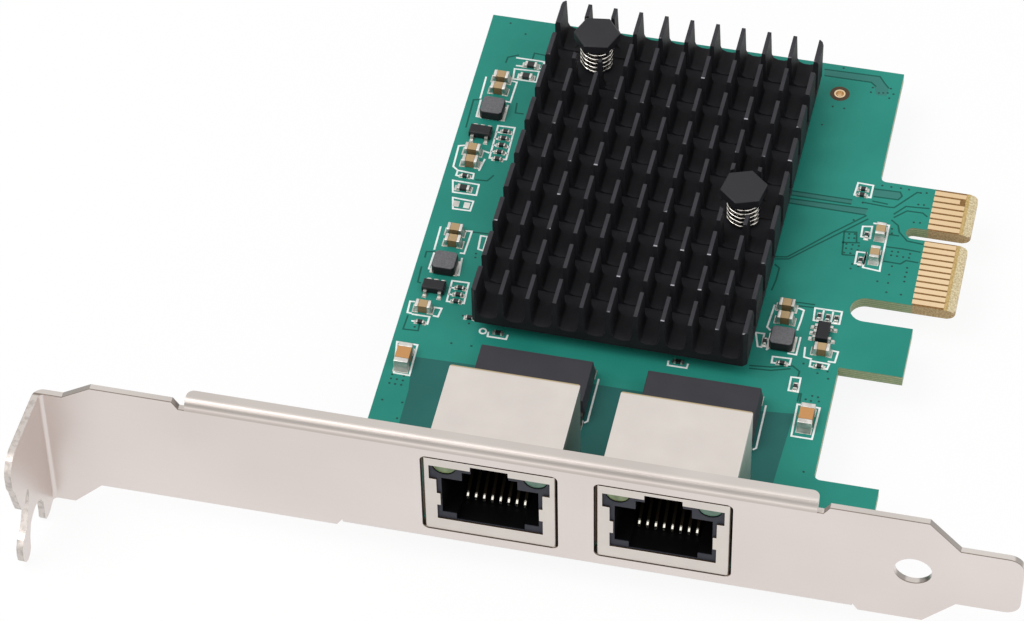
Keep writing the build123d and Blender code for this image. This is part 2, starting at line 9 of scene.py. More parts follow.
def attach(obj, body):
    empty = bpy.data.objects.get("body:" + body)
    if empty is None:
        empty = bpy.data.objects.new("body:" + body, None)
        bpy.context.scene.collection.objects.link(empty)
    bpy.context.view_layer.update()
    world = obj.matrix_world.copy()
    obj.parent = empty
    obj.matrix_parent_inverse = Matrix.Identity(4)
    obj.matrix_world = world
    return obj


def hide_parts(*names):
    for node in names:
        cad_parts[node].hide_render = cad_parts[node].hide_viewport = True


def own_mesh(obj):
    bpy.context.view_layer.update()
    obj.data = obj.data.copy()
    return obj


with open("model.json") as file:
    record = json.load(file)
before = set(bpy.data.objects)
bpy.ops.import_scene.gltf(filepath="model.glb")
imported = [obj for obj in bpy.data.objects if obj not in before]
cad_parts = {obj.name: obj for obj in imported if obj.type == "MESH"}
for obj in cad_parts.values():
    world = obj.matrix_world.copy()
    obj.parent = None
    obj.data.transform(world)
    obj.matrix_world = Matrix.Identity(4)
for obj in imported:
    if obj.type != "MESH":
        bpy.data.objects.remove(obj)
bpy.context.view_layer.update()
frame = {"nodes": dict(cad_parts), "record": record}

# The laying-out frame, in mm: X from the tab's seat along the bracket, Y from the plate's face into
# the card, Z up from the component side. The card's own frame starts at its key slot, at this point.
CARD_ORIGIN = Vector((105.28, 59.5, -0.785))
MM = 0.001
BOARD_T = 1.57


def at(x, y, z=0.0):
    """A laying-out point in mm as a point of the scene in metres."""
    return (Vector((x, y, z)) - CARD_ORIGIN) * MM


def srgb(*values):
    """A colour given in screen values of 0 to 255, as linear light."""
    return tuple((v / 255 / 12.92) if v < 11 else ((v / 255 + 0.055) / 1.055) ** 2.4 for v in values)


# Camera, solved from the photograph
PHOTO_W = 1024
FOCAL_PX = 4429.57
SENSOR_MM = 36.0
CAMERA_MM = (135.433, -322.107, 423.338)
LOOK_RIGHT = (0.97666044, 0.21427203, -0.01489553)
LOOK_DOWN = (0.15213242, -0.73904622, -0.65625178)
LOOK_AHEAD = (-0.15162489, 0.63866906, -0.75439494)


def make_camera():
    """A camera fitted to the photograph, with its axis through the middle of the picture."""
    data = bpy.data.cameras.new("camera")
    data.sensor_fit = "HORIZONTAL"
    data.sensor_width = SENSOR_MM
    data.lens = FOCAL_PX / PHOTO_W * SENSOR_MM
    data.clip_start = 0.01
    data.clip_end = 20.0
    camera = bpy.data.objects.new("camera", data)
    bpy.context.scene.collection.objects.link(camera)
    turn = Matrix((LOOK_RIGHT, [-v for v in LOOK_DOWN], [-v for v in LOOK_AHEAD])).transposed()
    camera.matrix_world = Matrix.Translation(at(*CAMERA_MM)) @ turn.to_4x4()
    bpy.context.scene.camera = camera


make_camera()

# Sizes shared with the card's solids, in mm, with the sink's turn in degrees
SINK_MIDDLE = (64.1, 57.46)
SINK_TURN = -0.75
SINK_TOP = 8.3
SINK_LENGTH = 52.15
ROW_PITCH = 6.0
PIN_SPOTS = ((52.75, 78.0), (76.55, 54.85))
SPRING_LOW = 3.43
SPRING_HIGH = 7.82
SPRING_R = 2.02
SPRING_WIRE = 0.42
SPRING_TURNS = 5.25
JACK_X = (55.62, 76.83)
FLANGE_ENDS = (18.2, 95.2)
FLANGE_DEPTH = 2.4
FLANGE_ROUND = 0.9
SHIELD_HALF = 8.1
WIRE_COUNT = 8
WIRE_PITCH = 1.016
WIRE_ROWS = (10.9, 12.3)
LEG_X = 7.975
LEG_Y = 7.0


# Finishes


class Finish:
    """A material being built: one Principled surface and the nodes that feed it."""

    def __init__(self, name, **settings):
        self.material = bpy.data.materials.new(name)
        self.material.use_nodes = True
        self.nodes = self.material.node_tree.nodes
        self.links = self.material.node_tree.links
        self.surface = self.nodes["Principled BSDF"]
        self.place = self.nodes.new("ShaderNodeTexCoord").outputs["Object"]
        for key, value in settings.items():
            self.surface.inputs[key.replace("_", " ")].default_value = value

    def node(self, kind, settings=None, **inputs):
        """Add a node, set its options, and link or set its inputs."""
        made = self.nodes.new(kind)
        for key, value in (settings or {}).items():
            setattr(made, key, value)
        for key, value in inputs.items():
            socket = made.inputs[key.replace("_", " ")]
            if isinstance(value, bpy.types.NodeSocket):
                self.links.new(value, socket)
            else:
                socket.default_value = value
        return made

    def noise(self, scale):
        """Noise near 0.5, at one scale."""
        return self.node("ShaderNodeTexNoise", None, Vector=self.place, Scale=scale).outputs["Fac"]

    def group(self, tree, **inputs):
        """Place a shared node group and set its inputs."""
        made = self.nodes.new("ShaderNodeGroup")
        made.node_tree = tree
        self.links.new(self.place, made.inputs["Place"])
        for key, value in inputs.items():
            made.inputs[key].default_value = value
        return made

    def mix(self, share, dark, light):
        """Blend two colours, or linked colours, by a share between 0 and 1."""
        made = self.nodes.new("ShaderNodeMix")
        made.data_type = "RGBA"
        for socket, value in ((made.inputs[0], share), (made.inputs[6], dark), (made.inputs[7], light)):
            if isinstance(value, bpy.types.NodeSocket):
                self.links.new(value, socket)
            elif isinstance(value, (int, float)):
                socket.default_value = value
            else:
                socket.default_value = (*value[:3], 1)
        return made.outputs[2]

    def math(self, operation, first, second=0.0, third=0.0):
        """One sum on numbers or linked values."""
        made = self.nodes.new("ShaderNodeMath")
        made.operation = operation
        for socket, value in zip(made.inputs, (first, second, third)):
            if isinstance(value, bpy.types.NodeSocket):
                self.links.new(value, socket)
            else:
                socket.default_value = value
        return made.outputs[0]

    def product(self, first, *others):
        """Several values or shares multiplied together."""
        for other in others:
            first = self.math("MULTIPLY", first, other)
        return first

    def span(self, value, low, high, to_low=0.0, to_high=1.0):
        """Stretch a value from one range to another, clamped."""
        made = self.node(
            "ShaderNodeMapRange", None,
            Value=value, From_Min=low, From_Max=high, To_Min=to_low, To_Max=to_high,
        )
        return made.outputs[0]

    def axis(self, letter, vector=None):
        """One axis of a vector, which is the place on the piece where no other is given."""
        split = self.node("ShaderNodeSeparateXYZ", None, Vector=vector or self.place)
        return split.outputs[letter]

    def ramp(self, letter, start, end):
        """A share that grows from 0 to 1 between two laying-out places on one axis, in mm."""
        origin = getattr(CARD_ORIGIN, letter.lower())
        return self.span(self.axis(letter), (start - origin) * MM, (end - origin) * MM)

    def patches(self, grain, dark, light, low=0.3, high=0.7):
        """Two colours, blended in slow patches."""
        return self.mix(self.span(grain.outputs["Patches"], low, high), dark, light)

    def brushing(self, drawn):
        """Drawn lines with slower waves, for the roughness of sheet metal."""
        lines = self.math("MULTIPLY", drawn.outputs["Lines"], 0.6)
        return self.math("ADD", lines, self.math("MULTIPLY", drawn.outputs["Waves"], 0.4))

    def facing(self, letter):
        """The surface's own normal along one axis."""
        normal = self.nodes.new("ShaderNodeNewGeometry").outputs["Normal"]
        return self.axis(letter, normal)

    def feed(self, key, socket):
        """Link a socket into the surface."""
        self.links.new(socket, self.surface.inputs[key])

    def rough(self, share, low, high):
        """Spread the roughness between two values by a share."""
        self.feed("Roughness", self.span(share, 0, 1, low, high))

    def bump(self, height, strength, distance):
        """Fine relief from a height, with its full depth in metres."""
        made = self.node("ShaderNodeBump", None, Height=height, Strength=strength, Distance=distance)
        self.feed("Normal", made.outputs["Normal"])


def new_group(name, inputs, outputs):
    """An empty shader node group with its place, its named inputs and its outputs."""
    tree = bpy.data.node_groups.new(name, "ShaderNodeTree")
    tree.interface.new_socket(name="Place", in_out="INPUT", socket_type="NodeSocketVector")
    for key, value in inputs.items():
        socket = tree.interface.new_socket(name=key, in_out="INPUT", socket_type="NodeSocketFloat")
        socket.default_value = value
    for key in outputs:
        tree.interface.new_socket(name=key, in_out="OUTPUT", socket_type="NodeSocketFloat")
    return tree, tree.nodes.new("NodeGroupInput"), tree.nodes.new("NodeGroupOutput")


def make_grain():
    """Fine grain for bump, and wide patches for tone: both lie near 0.5."""
    tree, given, out = new_group("fine grain", {"Fine": 9000.0, "Wide": 160.0}, ("Grain", "Patches"))
    for key, detail, target in (("Fine", 2.0, "Grain"), ("Wide", 3.0, "Patches")):
        noise = tree.nodes.new("ShaderNodeTexNoise")
        noise.inputs["Detail"].default_value = detail
        tree.links.new(given.outputs["Place"], noise.inputs["Vector"])
        tree.links.new(given.outputs[key], noise.inputs["Scale"])
        tree.links.new(noise.outputs["Fac"], out.inputs[target])
    return tree


def make_drawn_lines():
    """Hair-fine lines drawn along X, as rolling and brushing leave on sheet metal."""
    tree, given, out = new_group("drawn lines", {"Scale": 2500.0, "Stretch": 0.03}, ("Lines", "Waves"))
    squash = tree.nodes.new("ShaderNodeCombineXYZ")
    squash.inputs["Y"].default_value = 1.0
    squash.inputs["Z"].default_value = 1.0
    tree.links.new(given.outputs["Stretch"], squash.inputs["X"])
    scaled = tree.nodes.new("ShaderNodeVectorMath")
    scaled.operation = "MULTIPLY"
    tree.links.new(given.outputs["Place"], scaled.inputs[0])
    tree.links.new(squash.outputs[0], scaled.inputs[1])
    noise = tree.nodes.new("ShaderNodeTexNoise")
    noise.inputs["Detail"].default_value = 3.0
    tree.links.new(scaled.outputs[0], noise.inputs["Vector"])
    tree.links.new(given.outputs["Scale"], noise.inputs["Scale"])
    tree.links.new(noise.outputs["Fac"], out.inputs["Lines"])
    wide = tree.nodes.new("ShaderNodeTexNoise")
    wide.inputs["Scale"].default_value = 45.0
    tree.links.new(given.outputs["Place"], wide.inputs["Vector"])
    tree.links.new(wide.outputs["Fac"], out.inputs["Waves"])
    return tree


GRAIN = make_grain()
DRAWN = make_drawn_lines()


def solder_mask(name, tone, deep, rough=0.36):
    """Green mask over glass cloth, a faint woven relief under a soft gloss, still open to more."""
    skin = Finish(name, IOR=1.5, Specular_IOR_Level=0.16)
    grain = skin.group(GRAIN, Fine=5200.0, Wide=90.0)
    skin.feed("Base Color", skin.patches(grain, deep, tone))
    skin.rough(grain.outputs["Patches"], rough - 0.05, rough + 0.08)
    weave = skin.node(
        "ShaderNodeTexWave", {"wave_type": "BANDS", "bands_direction": "DIAGONAL"},
        Vector=skin.place, Scale=260.0, Distortion=0.6,
    )
    relief = skin.math("ADD", skin.math("MULTIPLY", weave.outputs["Fac"], 0.35), grain.outputs["Grain"])
    skin.bump(relief, 0.12, 0.00002)
    return skin


MASK_GREEN = srgb(44, 143, 128)
MASK_DEEP = srgb(36, 133, 119)
# The bare field round the contacts, where its pads end and where the bevel starts, in mm
FIELD_START = 99.78
FIELD_Y = (47.2, 70.8)
PADS_END = 103.73
BEVEL_START = 104.23


def board_finish():
    """Mask on both faces, bare laminate round the contacts, and sawn glass cloth on the edges."""
    skin = solder_mask("board mask", MASK_GREEN, MASK_DEEP)
    green = skin.surface.inputs["Base Color"].links[0].from_socket
    specks = skin.span(skin.noise(4200.0), 0.35, 0.65)
    up = skin.math("ABSOLUTE", skin.facing("Z"))
    across = skin.math("ABSOLUTE", skin.math("SUBTRACT", skin.axis("Y"), at(0, sum(FIELD_Y) / 2).y))
    half = (FIELD_Y[1] - FIELD_Y[0]) / 2
    within = skin.span(across, (half + 0.1) * MM, (half - 0.1) * MM)
    field = skin.product(skin.ramp("X", FIELD_START - 0.12, FIELD_START + 0.12), within)
    bare = skin.mix(specks, srgb(178, 150, 94), srgb(206, 178, 122))
    gaps = skin.mix(specks, srgb(120, 88, 48), srgb(148, 112, 66))
    bare = skin.mix(skin.ramp("X", PADS_END, PADS_END + 0.1), gaps, bare)
    face = skin.mix(field, green, bare)
    tip = skin.product(skin.ramp("X", BEVEL_START, BEVEL_START + 0.08), field)
    face = skin.mix(tip, face, skin.mix(specks, srgb(186, 168, 130), srgb(226, 212, 176)))
    layers = skin.node(
        "ShaderNodeTexWave", {"wave_type": "BANDS", "bands_direction": "Z"},
        Vector=skin.place, Scale=900.0, Distortion=2.0,
    )
    edge = skin.mix(layers.outputs["Fac"], srgb(124, 138, 104), srgb(168, 176, 136))
    edge = skin.mix(skin.math("MULTIPLY", specks, 0.5), edge, srgb(112, 134, 104))
    edge = skin.mix(field, edge, skin.mix(specks, srgb(150, 126, 90), srgb(190, 164, 122)))
    skin.feed("Base Color", skin.mix(skin.span(up, 0.3, 0.6), edge, face))
    return skin.material


def silk_finish():
    """Off-white ink, a little thin in places."""
    skin = Finish("printed silk line", Roughness=0.55)
    grain = skin.group(GRAIN, Fine=11000.0, Wide=1500.0)
    skin.feed("Base Color", skin.patches(grain, srgb(222, 234, 229), srgb(247, 250, 249), 0.25, 0.6))
    skin.bump(grain.outputs["Grain"], 0.2, 0.00001)
    return skin.material


def sheet_metal(name, tone, shade, low, high, lines=2500.0, stretch=0.03, relief=0.05):
    """Plated sheet: satin, with drawn lines and slow waves in its sheen."""
    skin = Finish(name, Metallic=1.0)
    drawn = skin.group(DRAWN, Scale=lines, Stretch=stretch)
    skin.feed("Base Color", skin.mix(skin.span(drawn.outputs["Waves"], 0.3, 0.7), shade, tone))
    skin.rough(skin.brushing(drawn), low, high)
    grain = skin.group(GRAIN, Fine=7000.0, Wide=300.0)
    fine = skin.math("MULTIPLY", grain.outputs["Grain"], 0.5)
    skin.bump(skin.math("ADD", drawn.outputs["Lines"], fine), relief, 0.00003)
    return skin.material


# Depths between which the bracket's painted dark shade line along its front and its sheared tab fade in, in
# mm
SHADE_LINE_BACK_Y = (0.2, 0.1)
SHADE_LINE_FRONT_Y = (-0.3, -0.1)
TAB_Y = (-0.4, -0.7)


def bracket_finish():
    """Nickel-plated sheet with painted shade over its folds and on its flat tops, a painted dark shade line
    along its front edges, and sheared at its tab.
    """
    skin = Finish("satin nickel sheet", Metallic=1.0)
    drawn = skin.group(DRAWN, Scale=2500.0, Stretch=0.03)
    grain = skin.group(GRAIN, Fine=7000.0, Wide=300.0)
    up = skin.facing("Z")
    tone = skin.mix(skin.span(drawn.outputs["Waves"], 0.3, 0.7), srgb(219, 209, 204), srgb(226, 217, 213))
    # Painted shade on the folds: their curved faces are toned darker, by their normal, so their highlight
    # stays soft
    fold_shade_share = skin.product(skin.span(up, 0.35, 0.6), skin.span(up, 0.99, 0.9))
    fold_painted_shade = skin.mix(skin.span(drawn.outputs["Waves"], 0.3, 0.7), srgb(148, 141, 136), srgb(166, 159, 154))
    tone = skin.mix(fold_shade_share, tone, fold_painted_shade)
    # Painted shade on the flat up-facing tops: the same sheet in a darker tone where it faces up
    flat = skin.mix(skin.span(drawn.outputs["Waves"], 0.35, 0.65), srgb(196, 188, 182), srgb(212, 205, 199))
    tone = skin.mix(skin.span(up, 0.92, 0.99), tone, flat)
    # Painted shade: a dark line on the up-facing edges at the plate's front face
    front_shade_band = skin.product(skin.ramp("Y", *SHADE_LINE_BACK_Y), skin.ramp("Y", *SHADE_LINE_FRONT_Y))
    turned_up = skin.product(skin.span(up, 0.05, 0.2), skin.span(up, 0.5, 0.9, 0.4, 1.0))
    tone = skin.mix(skin.product(front_shade_band, turned_up), tone, srgb(138, 126, 117))
    cut = skin.span(skin.math("ABSOLUTE", skin.facing("X")), 0.6, 0.3)
    torn = skin.mix(skin.span(skin.noise(1500.0), 0.36, 0.56), srgb(182, 174, 168), srgb(204, 196, 190))
    tone = skin.mix(skin.product(skin.ramp("Y", *TAB_Y), cut), tone, torn)
    skin.feed("Base Color", tone)
    skin.rough(skin.brushing(drawn), 0.26, 0.44)
    fine = skin.math("MULTIPLY", grain.outputs["Grain"], 0.5)
    skin.bump(skin.math("ADD", drawn.outputs["Lines"], fine), 0.05, 0.00003)
    return skin.material


# Where the shield's yellowish back edge, its painted shade in the bracket's window and its painted shade low
# on its sides each begin and are full, in mm
SHIELD_RAW_Y = (14.72, 14.9)
SHIELD_WINDOW_SHADE_Y = (0.95, 0.85)
SHIELD_SHADE_Y = (13.5, 2.0)
SHIELD_SHADE_Z = (12.9, 11.6)


def shield_finish():
    """Tinned sheet, yellowish at its back edge, with painted brown shade in the bracket's window and low on
    its sides.
    """
    skin = Finish("tinned shield", Metallic=1.0)
    drawn = skin.group(DRAWN, Scale=2000.0, Stretch=0.08)
    grain = skin.group(GRAIN, Fine=6000.0, Wide=220.0)
    tone = skin.patches(grain, srgb(211, 203, 197), srgb(217, 210, 203))
    raw = skin.product(skin.ramp("Y", *SHIELD_RAW_Y), skin.span(skin.facing("Z"), 0.1, 0.5))
    tone = skin.mix(raw, tone, srgb(178, 160, 124))
    # Painted shade: dark brown on the shield's faces inside the bracket's window
    flank = skin.span(skin.math("ABSOLUTE", skin.facing("Y")), 0.8, 0.4)
    window_gap_shade = skin.product(flank, skin.ramp("Y", *SHIELD_WINDOW_SHADE_Y))
    tone = skin.mix(window_gap_shade, tone, srgb(96, 78, 60))
    # Painted shade: the side walls darker low down and towards the front
    side = skin.span(skin.math("ABSOLUTE", skin.facing("X")), 0.7, 0.9)
    low_side_shade = skin.product(side, skin.ramp("Y", *SHIELD_SHADE_Y), skin.ramp("Z", *SHIELD_SHADE_Z))
    tone = skin.mix(low_side_shade, tone, srgb(112, 102, 90))
    skin.feed("Base Color", tone)
    satin = skin.span(drawn.outputs["Lines"], 0, 1, 0.3, 0.46)
    skin.feed("Roughness", skin.math("ADD", satin, skin.math("MULTIPLY", window_gap_shade, 0.2)))
    skin.bump(skin.math("ADD", drawn.outputs["Lines"], grain.outputs["Grain"]), 0.05, 0.00003)
    return skin.material


# Where the painted glint on each wire's front bend begins and is full, in mm
WIRE_GLINT_Y = (4.1, 3.9)


def contact_wire_finish():
    """Socket wires: a painted glint down the middle of each front bend, and painted shade that makes the
    plating near black behind it.
    """
    skin = Finish("gold spring wire", Metallic=1.0)
    drawn = skin.group(DRAWN, Scale=3000.0, Stretch=0.2)
    across = skin.axis("X")
    left = at(JACK_X[0], 0).x
    right = at(JACK_X[1], 0).x
    second = skin.math("GREATER_THAN", across, (left + right) / 2)
    from_first = skin.math("SUBTRACT", across, left)
    local = skin.math("SUBTRACT", from_first, skin.math("MULTIPLY", second, right - left))
    within = skin.math("WRAP", local, WIRE_PITCH * MM, 0.0)
    off_middle = skin.math("ABSOLUTE", skin.math("SUBTRACT", within, WIRE_PITCH / 2 * MM))
    # Painted highlight: a narrow bright stripe down the middle of each wire's front bend
    painted_glint = skin.product(skin.ramp("Y", *WIRE_GLINT_Y), skin.span(off_middle, 0.15 * MM, 0.08 * MM))
    # Painted shade: the rest of each wire near black, as deep in the socket
    dull = skin.mix(drawn.outputs["Waves"], srgb(26, 23, 17), srgb(40, 35, 26))
    skin.feed("Base Color", skin.mix(painted_glint, dull, srgb(246, 242, 228)))
    satin = skin.span(drawn.outputs["Lines"], 0, 1, 0.4, 0.5)
    skin.feed("Roughness", skin.math("SUBTRACT", satin, skin.math("MULTIPLY", painted_glint, 0.2)))
    return skin.material


def moulded(name, tone, shade, rough, specular, relief=0.25, fine=6500.0):
    """Moulded or cast matter with a fine skin, still open to more."""
    skin = Finish(name, Specular_IOR_Level=specular)
    grain = skin.group(GRAIN, Fine=fine, Wide=260.0)
    skin.feed("Base Color", skin.patches(grain, shade, tone))
    skin.rough(grain.outputs["Patches"], rough - 0.06, rough + 0.06)
    skin.bump(grain.outputs["Grain"], relief, 0.00003)
    return skin


def anodised_sink():
    """Black anodised aluminium, with a painted grey sheen on the up-facing ridge tops, patchy like wear, and
    bright burrs at their sawn ends.
    """
    skin = Finish("black anodised fins", Metallic=0.0, Specular_IOR_Level=0.09)
    turned = skin.node(
        "ShaderNodeMapping", {"vector_type": "TEXTURE"},
        Vector=skin.place, Location=at(*SINK_MIDDLE), Rotation=(0, 0, math.radians(SINK_TURN)),
    )
    along = skin.axis("Y", turned.outputs[0])
    grain = skin.group(GRAIN, Fine=6000.0, Wide=420.0)
    drawn = skin.group(DRAWN, Scale=1800.0, Stretch=0.6)
    near_top = skin.ramp("Z", SINK_TOP - 0.6, SINK_TOP - 0.1)
    # Painted highlight: the up-facing ridge tops toned lighter grey, in patches like wear
    ridge = skin.product(near_top, skin.span(skin.facing("Z"), 0.15, 0.8))
    tone = skin.patches(grain, srgb(33, 33, 36), srgb(40, 40, 43))
    wear_and_sheen = skin.span(grain.outputs["Patches"], 0.25, 0.65, 0.6, 1.0)
    tone = skin.mix(skin.product(ridge, wear_and_sheen), tone, srgb(61, 61, 65))
    start = -SINK_LENGTH / 2 * MM
    row = skin.math("WRAP", skin.math("SUBTRACT", along, start), ROW_PITCH * MM, 0.0)
    end = skin.span(row, 0.12 * MM, 0.26 * MM, 1.0, 0.0)
    burr = skin.product(end, ridge, skin.span(skin.noise(420.0), 0.56, 0.61))
    skin.feed("Base Color", skin.mix(burr, tone, srgb(172, 172, 178)))
    skin.feed("Metallic", burr)
    skin.rough(drawn.outputs["Lines"], 0.42, 0.58)
    skin.bump(skin.math("ADD", grain.outputs["Grain"], drawn.outputs["Lines"]), 0.18, 0.00003)
    return skin.material


# Where the painted light on the lamp steps begins and is full, in mm
LAMP_STEP_LIGHT_Y = (0.56, 0.48)


def socket_finish():
    """Black moulding, with painted light that makes the lamp steps at its front paler than the dark inside.
    """
    skin = moulded("black socket moulding", srgb(11, 11, 12), srgb(7, 7, 8), 0.5, 0.08)
    dark = skin.surface.inputs["Base Color"].links[0].from_socket
    # Painted light: the front lamp steps toned paler than the black cavity
    skin.feed("Base Color", skin.mix(skin.ramp("Y", *LAMP_STEP_LIGHT_Y), dark, srgb(58, 59, 66)))
    return skin.material


def ferrite_finish():
    """Pressed iron powder, with painted light and shade: grainy grey on top, near black down its sides."""
    skin = moulded("pressed ferrite", srgb(34, 34, 36), srgb(24, 24, 26), 0.5, 0.3, 0.5)
    dark = skin.surface.inputs["Base Color"].links[0].from_socket
    grain = skin.group(GRAIN, Fine=5000.0, Wide=800.0)
    # Painted light on the top and painted shade down the sides, picked by the face's normal
    top = skin.mix(skin.span(grain.outputs["Grain"], 0.3, 0.7), srgb(94, 94, 97), srgb(112, 112, 115))
    skin.feed("Base Color", skin.mix(skin.span(skin.facing("Z"), 0.6, 0.95), dark, top))
    return skin.material


def lamp_finish(name, tone, glow):
    """A tinted, frosted lens with paler patches."""
    skin = Finish(
        name, Roughness=0.32, Coat_Weight=0.3, Subsurface_Weight=0.25, Subsurface_Scale=0.8 * MM
    )
    grain = skin.group(GRAIN, Fine=3000.0, Wide=900.0)
    skin.feed("Base Color", skin.patches(grain, tone, glow))
    skin.bump(grain.outputs["Grain"], 0.1, 0.00002)
    return skin.material


def ceramic_finish(name, top, side):
    """Fired ceramic, with painted shade that makes it darker and browner down its sides."""
    skin = moulded(name, top, top, 0.42, 0.4, 0.2)
    upper = skin.surface.inputs["Base Color"].links[0].from_socket
    skin.feed("Base Color", skin.mix(skin.span(skin.facing("Z"), 0.5, 0.95), side, upper))
    return skin.material


def tin_finish():
    """Reflowed tin: bright, a little lumpy."""
    skin = Finish("reflowed tin", Metallic=1.0)
    grain = skin.group(GRAIN, Fine=2600.0, Wide=900.0)
    skin.feed("Base Color", skin.patches(grain, srgb(188, 184, 178), srgb(228, 226, 221)))
    skin.rough(grain.outputs["Patches"], 0.32, 0.55)
    skin.bump(grain.outputs["Grain"], 0.3, 0.00005)
    return skin.material


FINISH = {
    "solder_mask": board_finish(),
    "gold_pad": sheet_metal("hard gold", srgb(240, 213, 174), srgb(228, 197, 154), 0.24, 0.38, 3500.0, 0.02),
    "bracket_plate": bracket_finish(),
    "screw_plate": sheet_metal(
        "nickel screw", srgb(206, 202, 198), srgb(186, 182, 178), 0.2, 0.34, 1800.0, 0.5
    ),
    "shield_plate": shield_finish(),
    "socket_plastic": socket_finish(),
    "socket_wire": contact_wire_finish(),
    "lamp_left": lamp_finish("green lamp lens", srgb(86, 102, 62), srgb(122, 138, 92)),
    "lamp_right": lamp_finish("teal lamp lens", srgb(62, 96, 80), srgb(92, 126, 106)),
    "transformer_case": moulded(
        "dark transformer case", srgb(55, 54, 60), srgb(50, 49, 55), 0.56, 0.25, 0.4
    ).material,
    "tinned_lead": tin_finish(),
    "sink_anodise": anodised_sink(),
    "chip_case": moulded("black chip case", srgb(32, 32, 34), srgb(26, 26, 28), 0.55, 0.3).material,
    "gap_pad": moulded("grey gap pad", srgb(128, 136, 146), srgb(116, 124, 134), 0.8, 0.2, 0.6).material,
    "crystal_can": sheet_metal(
        "crystal can", srgb(214, 211, 204), srgb(196, 193, 186), 0.22, 0.36, 2500.0, 0.2
    ),
    "pin_plastic": moulded("black nylon pin", srgb(33, 33, 37), srgb(27, 27, 31), 0.45, 0.34, 0.3).material,
    "spring_wire": sheet_metal(
        "bright spring wire", srgb(232, 228, 221), srgb(200, 195, 187), 0.1, 0.22, 3000.0, 0.4
    ),
    "ferrite": ferrite_finish(),
    "regulator_case": moulded("black regulator case", srgb(30, 30, 33), srgb(22, 22, 25), 0.5, 0.32).material,
    # The tan ceramic's second colour is painted shade for its sides
    "tan_ceramic": ceramic_finish("tan ceramic", srgb(182, 154, 112), srgb(128, 104, 70)),
    "dark_ceramic": moulded("black resistor film", srgb(30, 30, 32), srgb(20, 20, 22), 0.38, 0.5).material,
}
# The amber ceramic's second colour is painted shade for its sides
LARGE_CERAMIC = ceramic_finish("amber ceramic", srgb(196, 142, 86), srgb(120, 92, 60))
SILK = silk_finish()
DULL_TIN = sheet_metal("dull tinned pin", srgb(120, 117, 112), srgb(92, 89, 85), 0.4, 0.55, 2500.0, 0.4)
# The earthing leaves' brass is darkened so that it also stands as painted shade in the window gap
EARTHING_AND_GAP_SHADE = sheet_metal("brass earthing leaf and gap shade", srgb(136, 108, 74), srgb(108, 84, 58), 0.35, 0.5, 2500.0, 0.4)
TRACE = solder_mask("mask beside a trace", srgb(22, 94, 82), srgb(18, 86, 75)).material
BAND = solder_mask("mask over wide copper", srgb(58, 126, 117), srgb(52, 119, 110)).material
BARE_MASK = solder_mask("mask over bare laminate", srgb(42, 108, 102), srgb(36, 98, 93), 0.3).material
DRILLED = moulded("tented drilled dot", srgb(16, 72, 62), srgb(12, 62, 54), 0.4, 0.3).material
MARGIN = moulded("bare laminate margin", srgb(92, 72, 52), srgb(72, 58, 44), 0.5, 0.2).material

slot_of = {row["node"]: row["material_slot"] for row in frame["record"]["subparts"]}


def finish_of(node):
    """A CAD node's finish: that of its slot, but for two kinds of piece that look different."""
    if node == "large_capacitor_bodies":
        return LARGE_CERAMIC
    if node.startswith("transformer") and node.endswith("leads"):
        return DULL_TIN
    return FINISH[slot_of[node]]


for name, node in frame["nodes"].items():
    node.data.materials.clear()
    node.data.materials.append(finish_of(name))


# Pieces


def show(name, mesh, material, body="card"):
    """Put a finished mesh in the scene as a piece of one body."""
    obj = bpy.data.objects.new(name, mesh)
    bpy.context.scene.collection.objects.link(obj)
    mesh.materials.clear()
    mesh.materials.append(material)
    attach(obj, body)
    return obj


def closed_mesh(name, made):
    """Turn a bmesh into a plain mesh whose faces point outwards."""
    bmesh.ops.recalc_face_normals(made, faces=made.faces)
    mesh = bpy.data.meshes.new(name)
    made.to_mesh(mesh)
    made.free()
    return mesh


def settle(obj):
    """Turn an object's live modifiers into its plain mesh."""
    graph = bpy.context.evaluated_depsgraph_get()
    mesh = bpy.data.meshes.new_from_object(obj.evaluated_get(graph))
    obj.modifiers.clear()
    obj.data = mesh


def merged(node):
    """A CAD node's triangles as one joined mesh with its flat faces whole."""
    made = bmesh.new()
    made.from_mesh(frame["nodes"][node].data)
    bmesh.ops.remove_doubles(made, verts=made.verts, dist=2e-6)
    bmesh.ops.dissolve_limit(made, angle_limit=math.radians(1.0), verts=made.verts, edges=made.edges)
    return made


def dressed(node, edge, steps=2, sharp=28.0, body="card", corners=()):
    """A copy of a CAD node with its sharp edges rounded, which stands for the node.

    Each corner is the place and the radius, in mm, of a short upright edge that is rounded further.
    """
    made = merged(node)
    for x, y, radius in corners:
        upright = []
        for e in made.edges:
            ends = [v.co / MM + CARD_ORIGIN for v in e.verts]
            if all(abs(p.x - x) < 0.05 and abs(p.y - y) < 0.05 for p in ends) and e.calc_length() < 1.0 * MM:
                upright.append(e)
        bmesh.ops.bevel(made, geom=upright, offset=radius * MM, segments=5, profile=0.5, affect="EDGES")
    limit = math.radians(sharp)
    hard = [e for e in made.edges if len(e.link_faces) == 2 and e.calc_face_angle(0.0) > limit]
    bmesh.ops.bevel(
        made, geom=hard, offset=edge * MM, offset_type="OFFSET", segments=steps, profile=0.5,
        affect="EDGES", clamp_overlap=True,
    )
    mesh = bpy.data.meshes.new(node + "_dressed")
    made.to_mesh(mesh)
    made.free()
    for face in mesh.polygons:
        face.use_smooth = True
    mesh.set_sharp_from_angle(angle=math.radians(50))
    obj = bpy.data.objects.new(node + "_dressed", mesh)
    bpy.context.scene.collection.objects.link(obj)
    even = obj.modifiers.new("even", "WEIGHTED_NORMAL")
    even.keep_sharp = True
    settle(obj)
    obj.data.materials.clear()
    obj.data.materials.append(finish_of(node))
    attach(obj, body)
    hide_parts(node)
    return obj


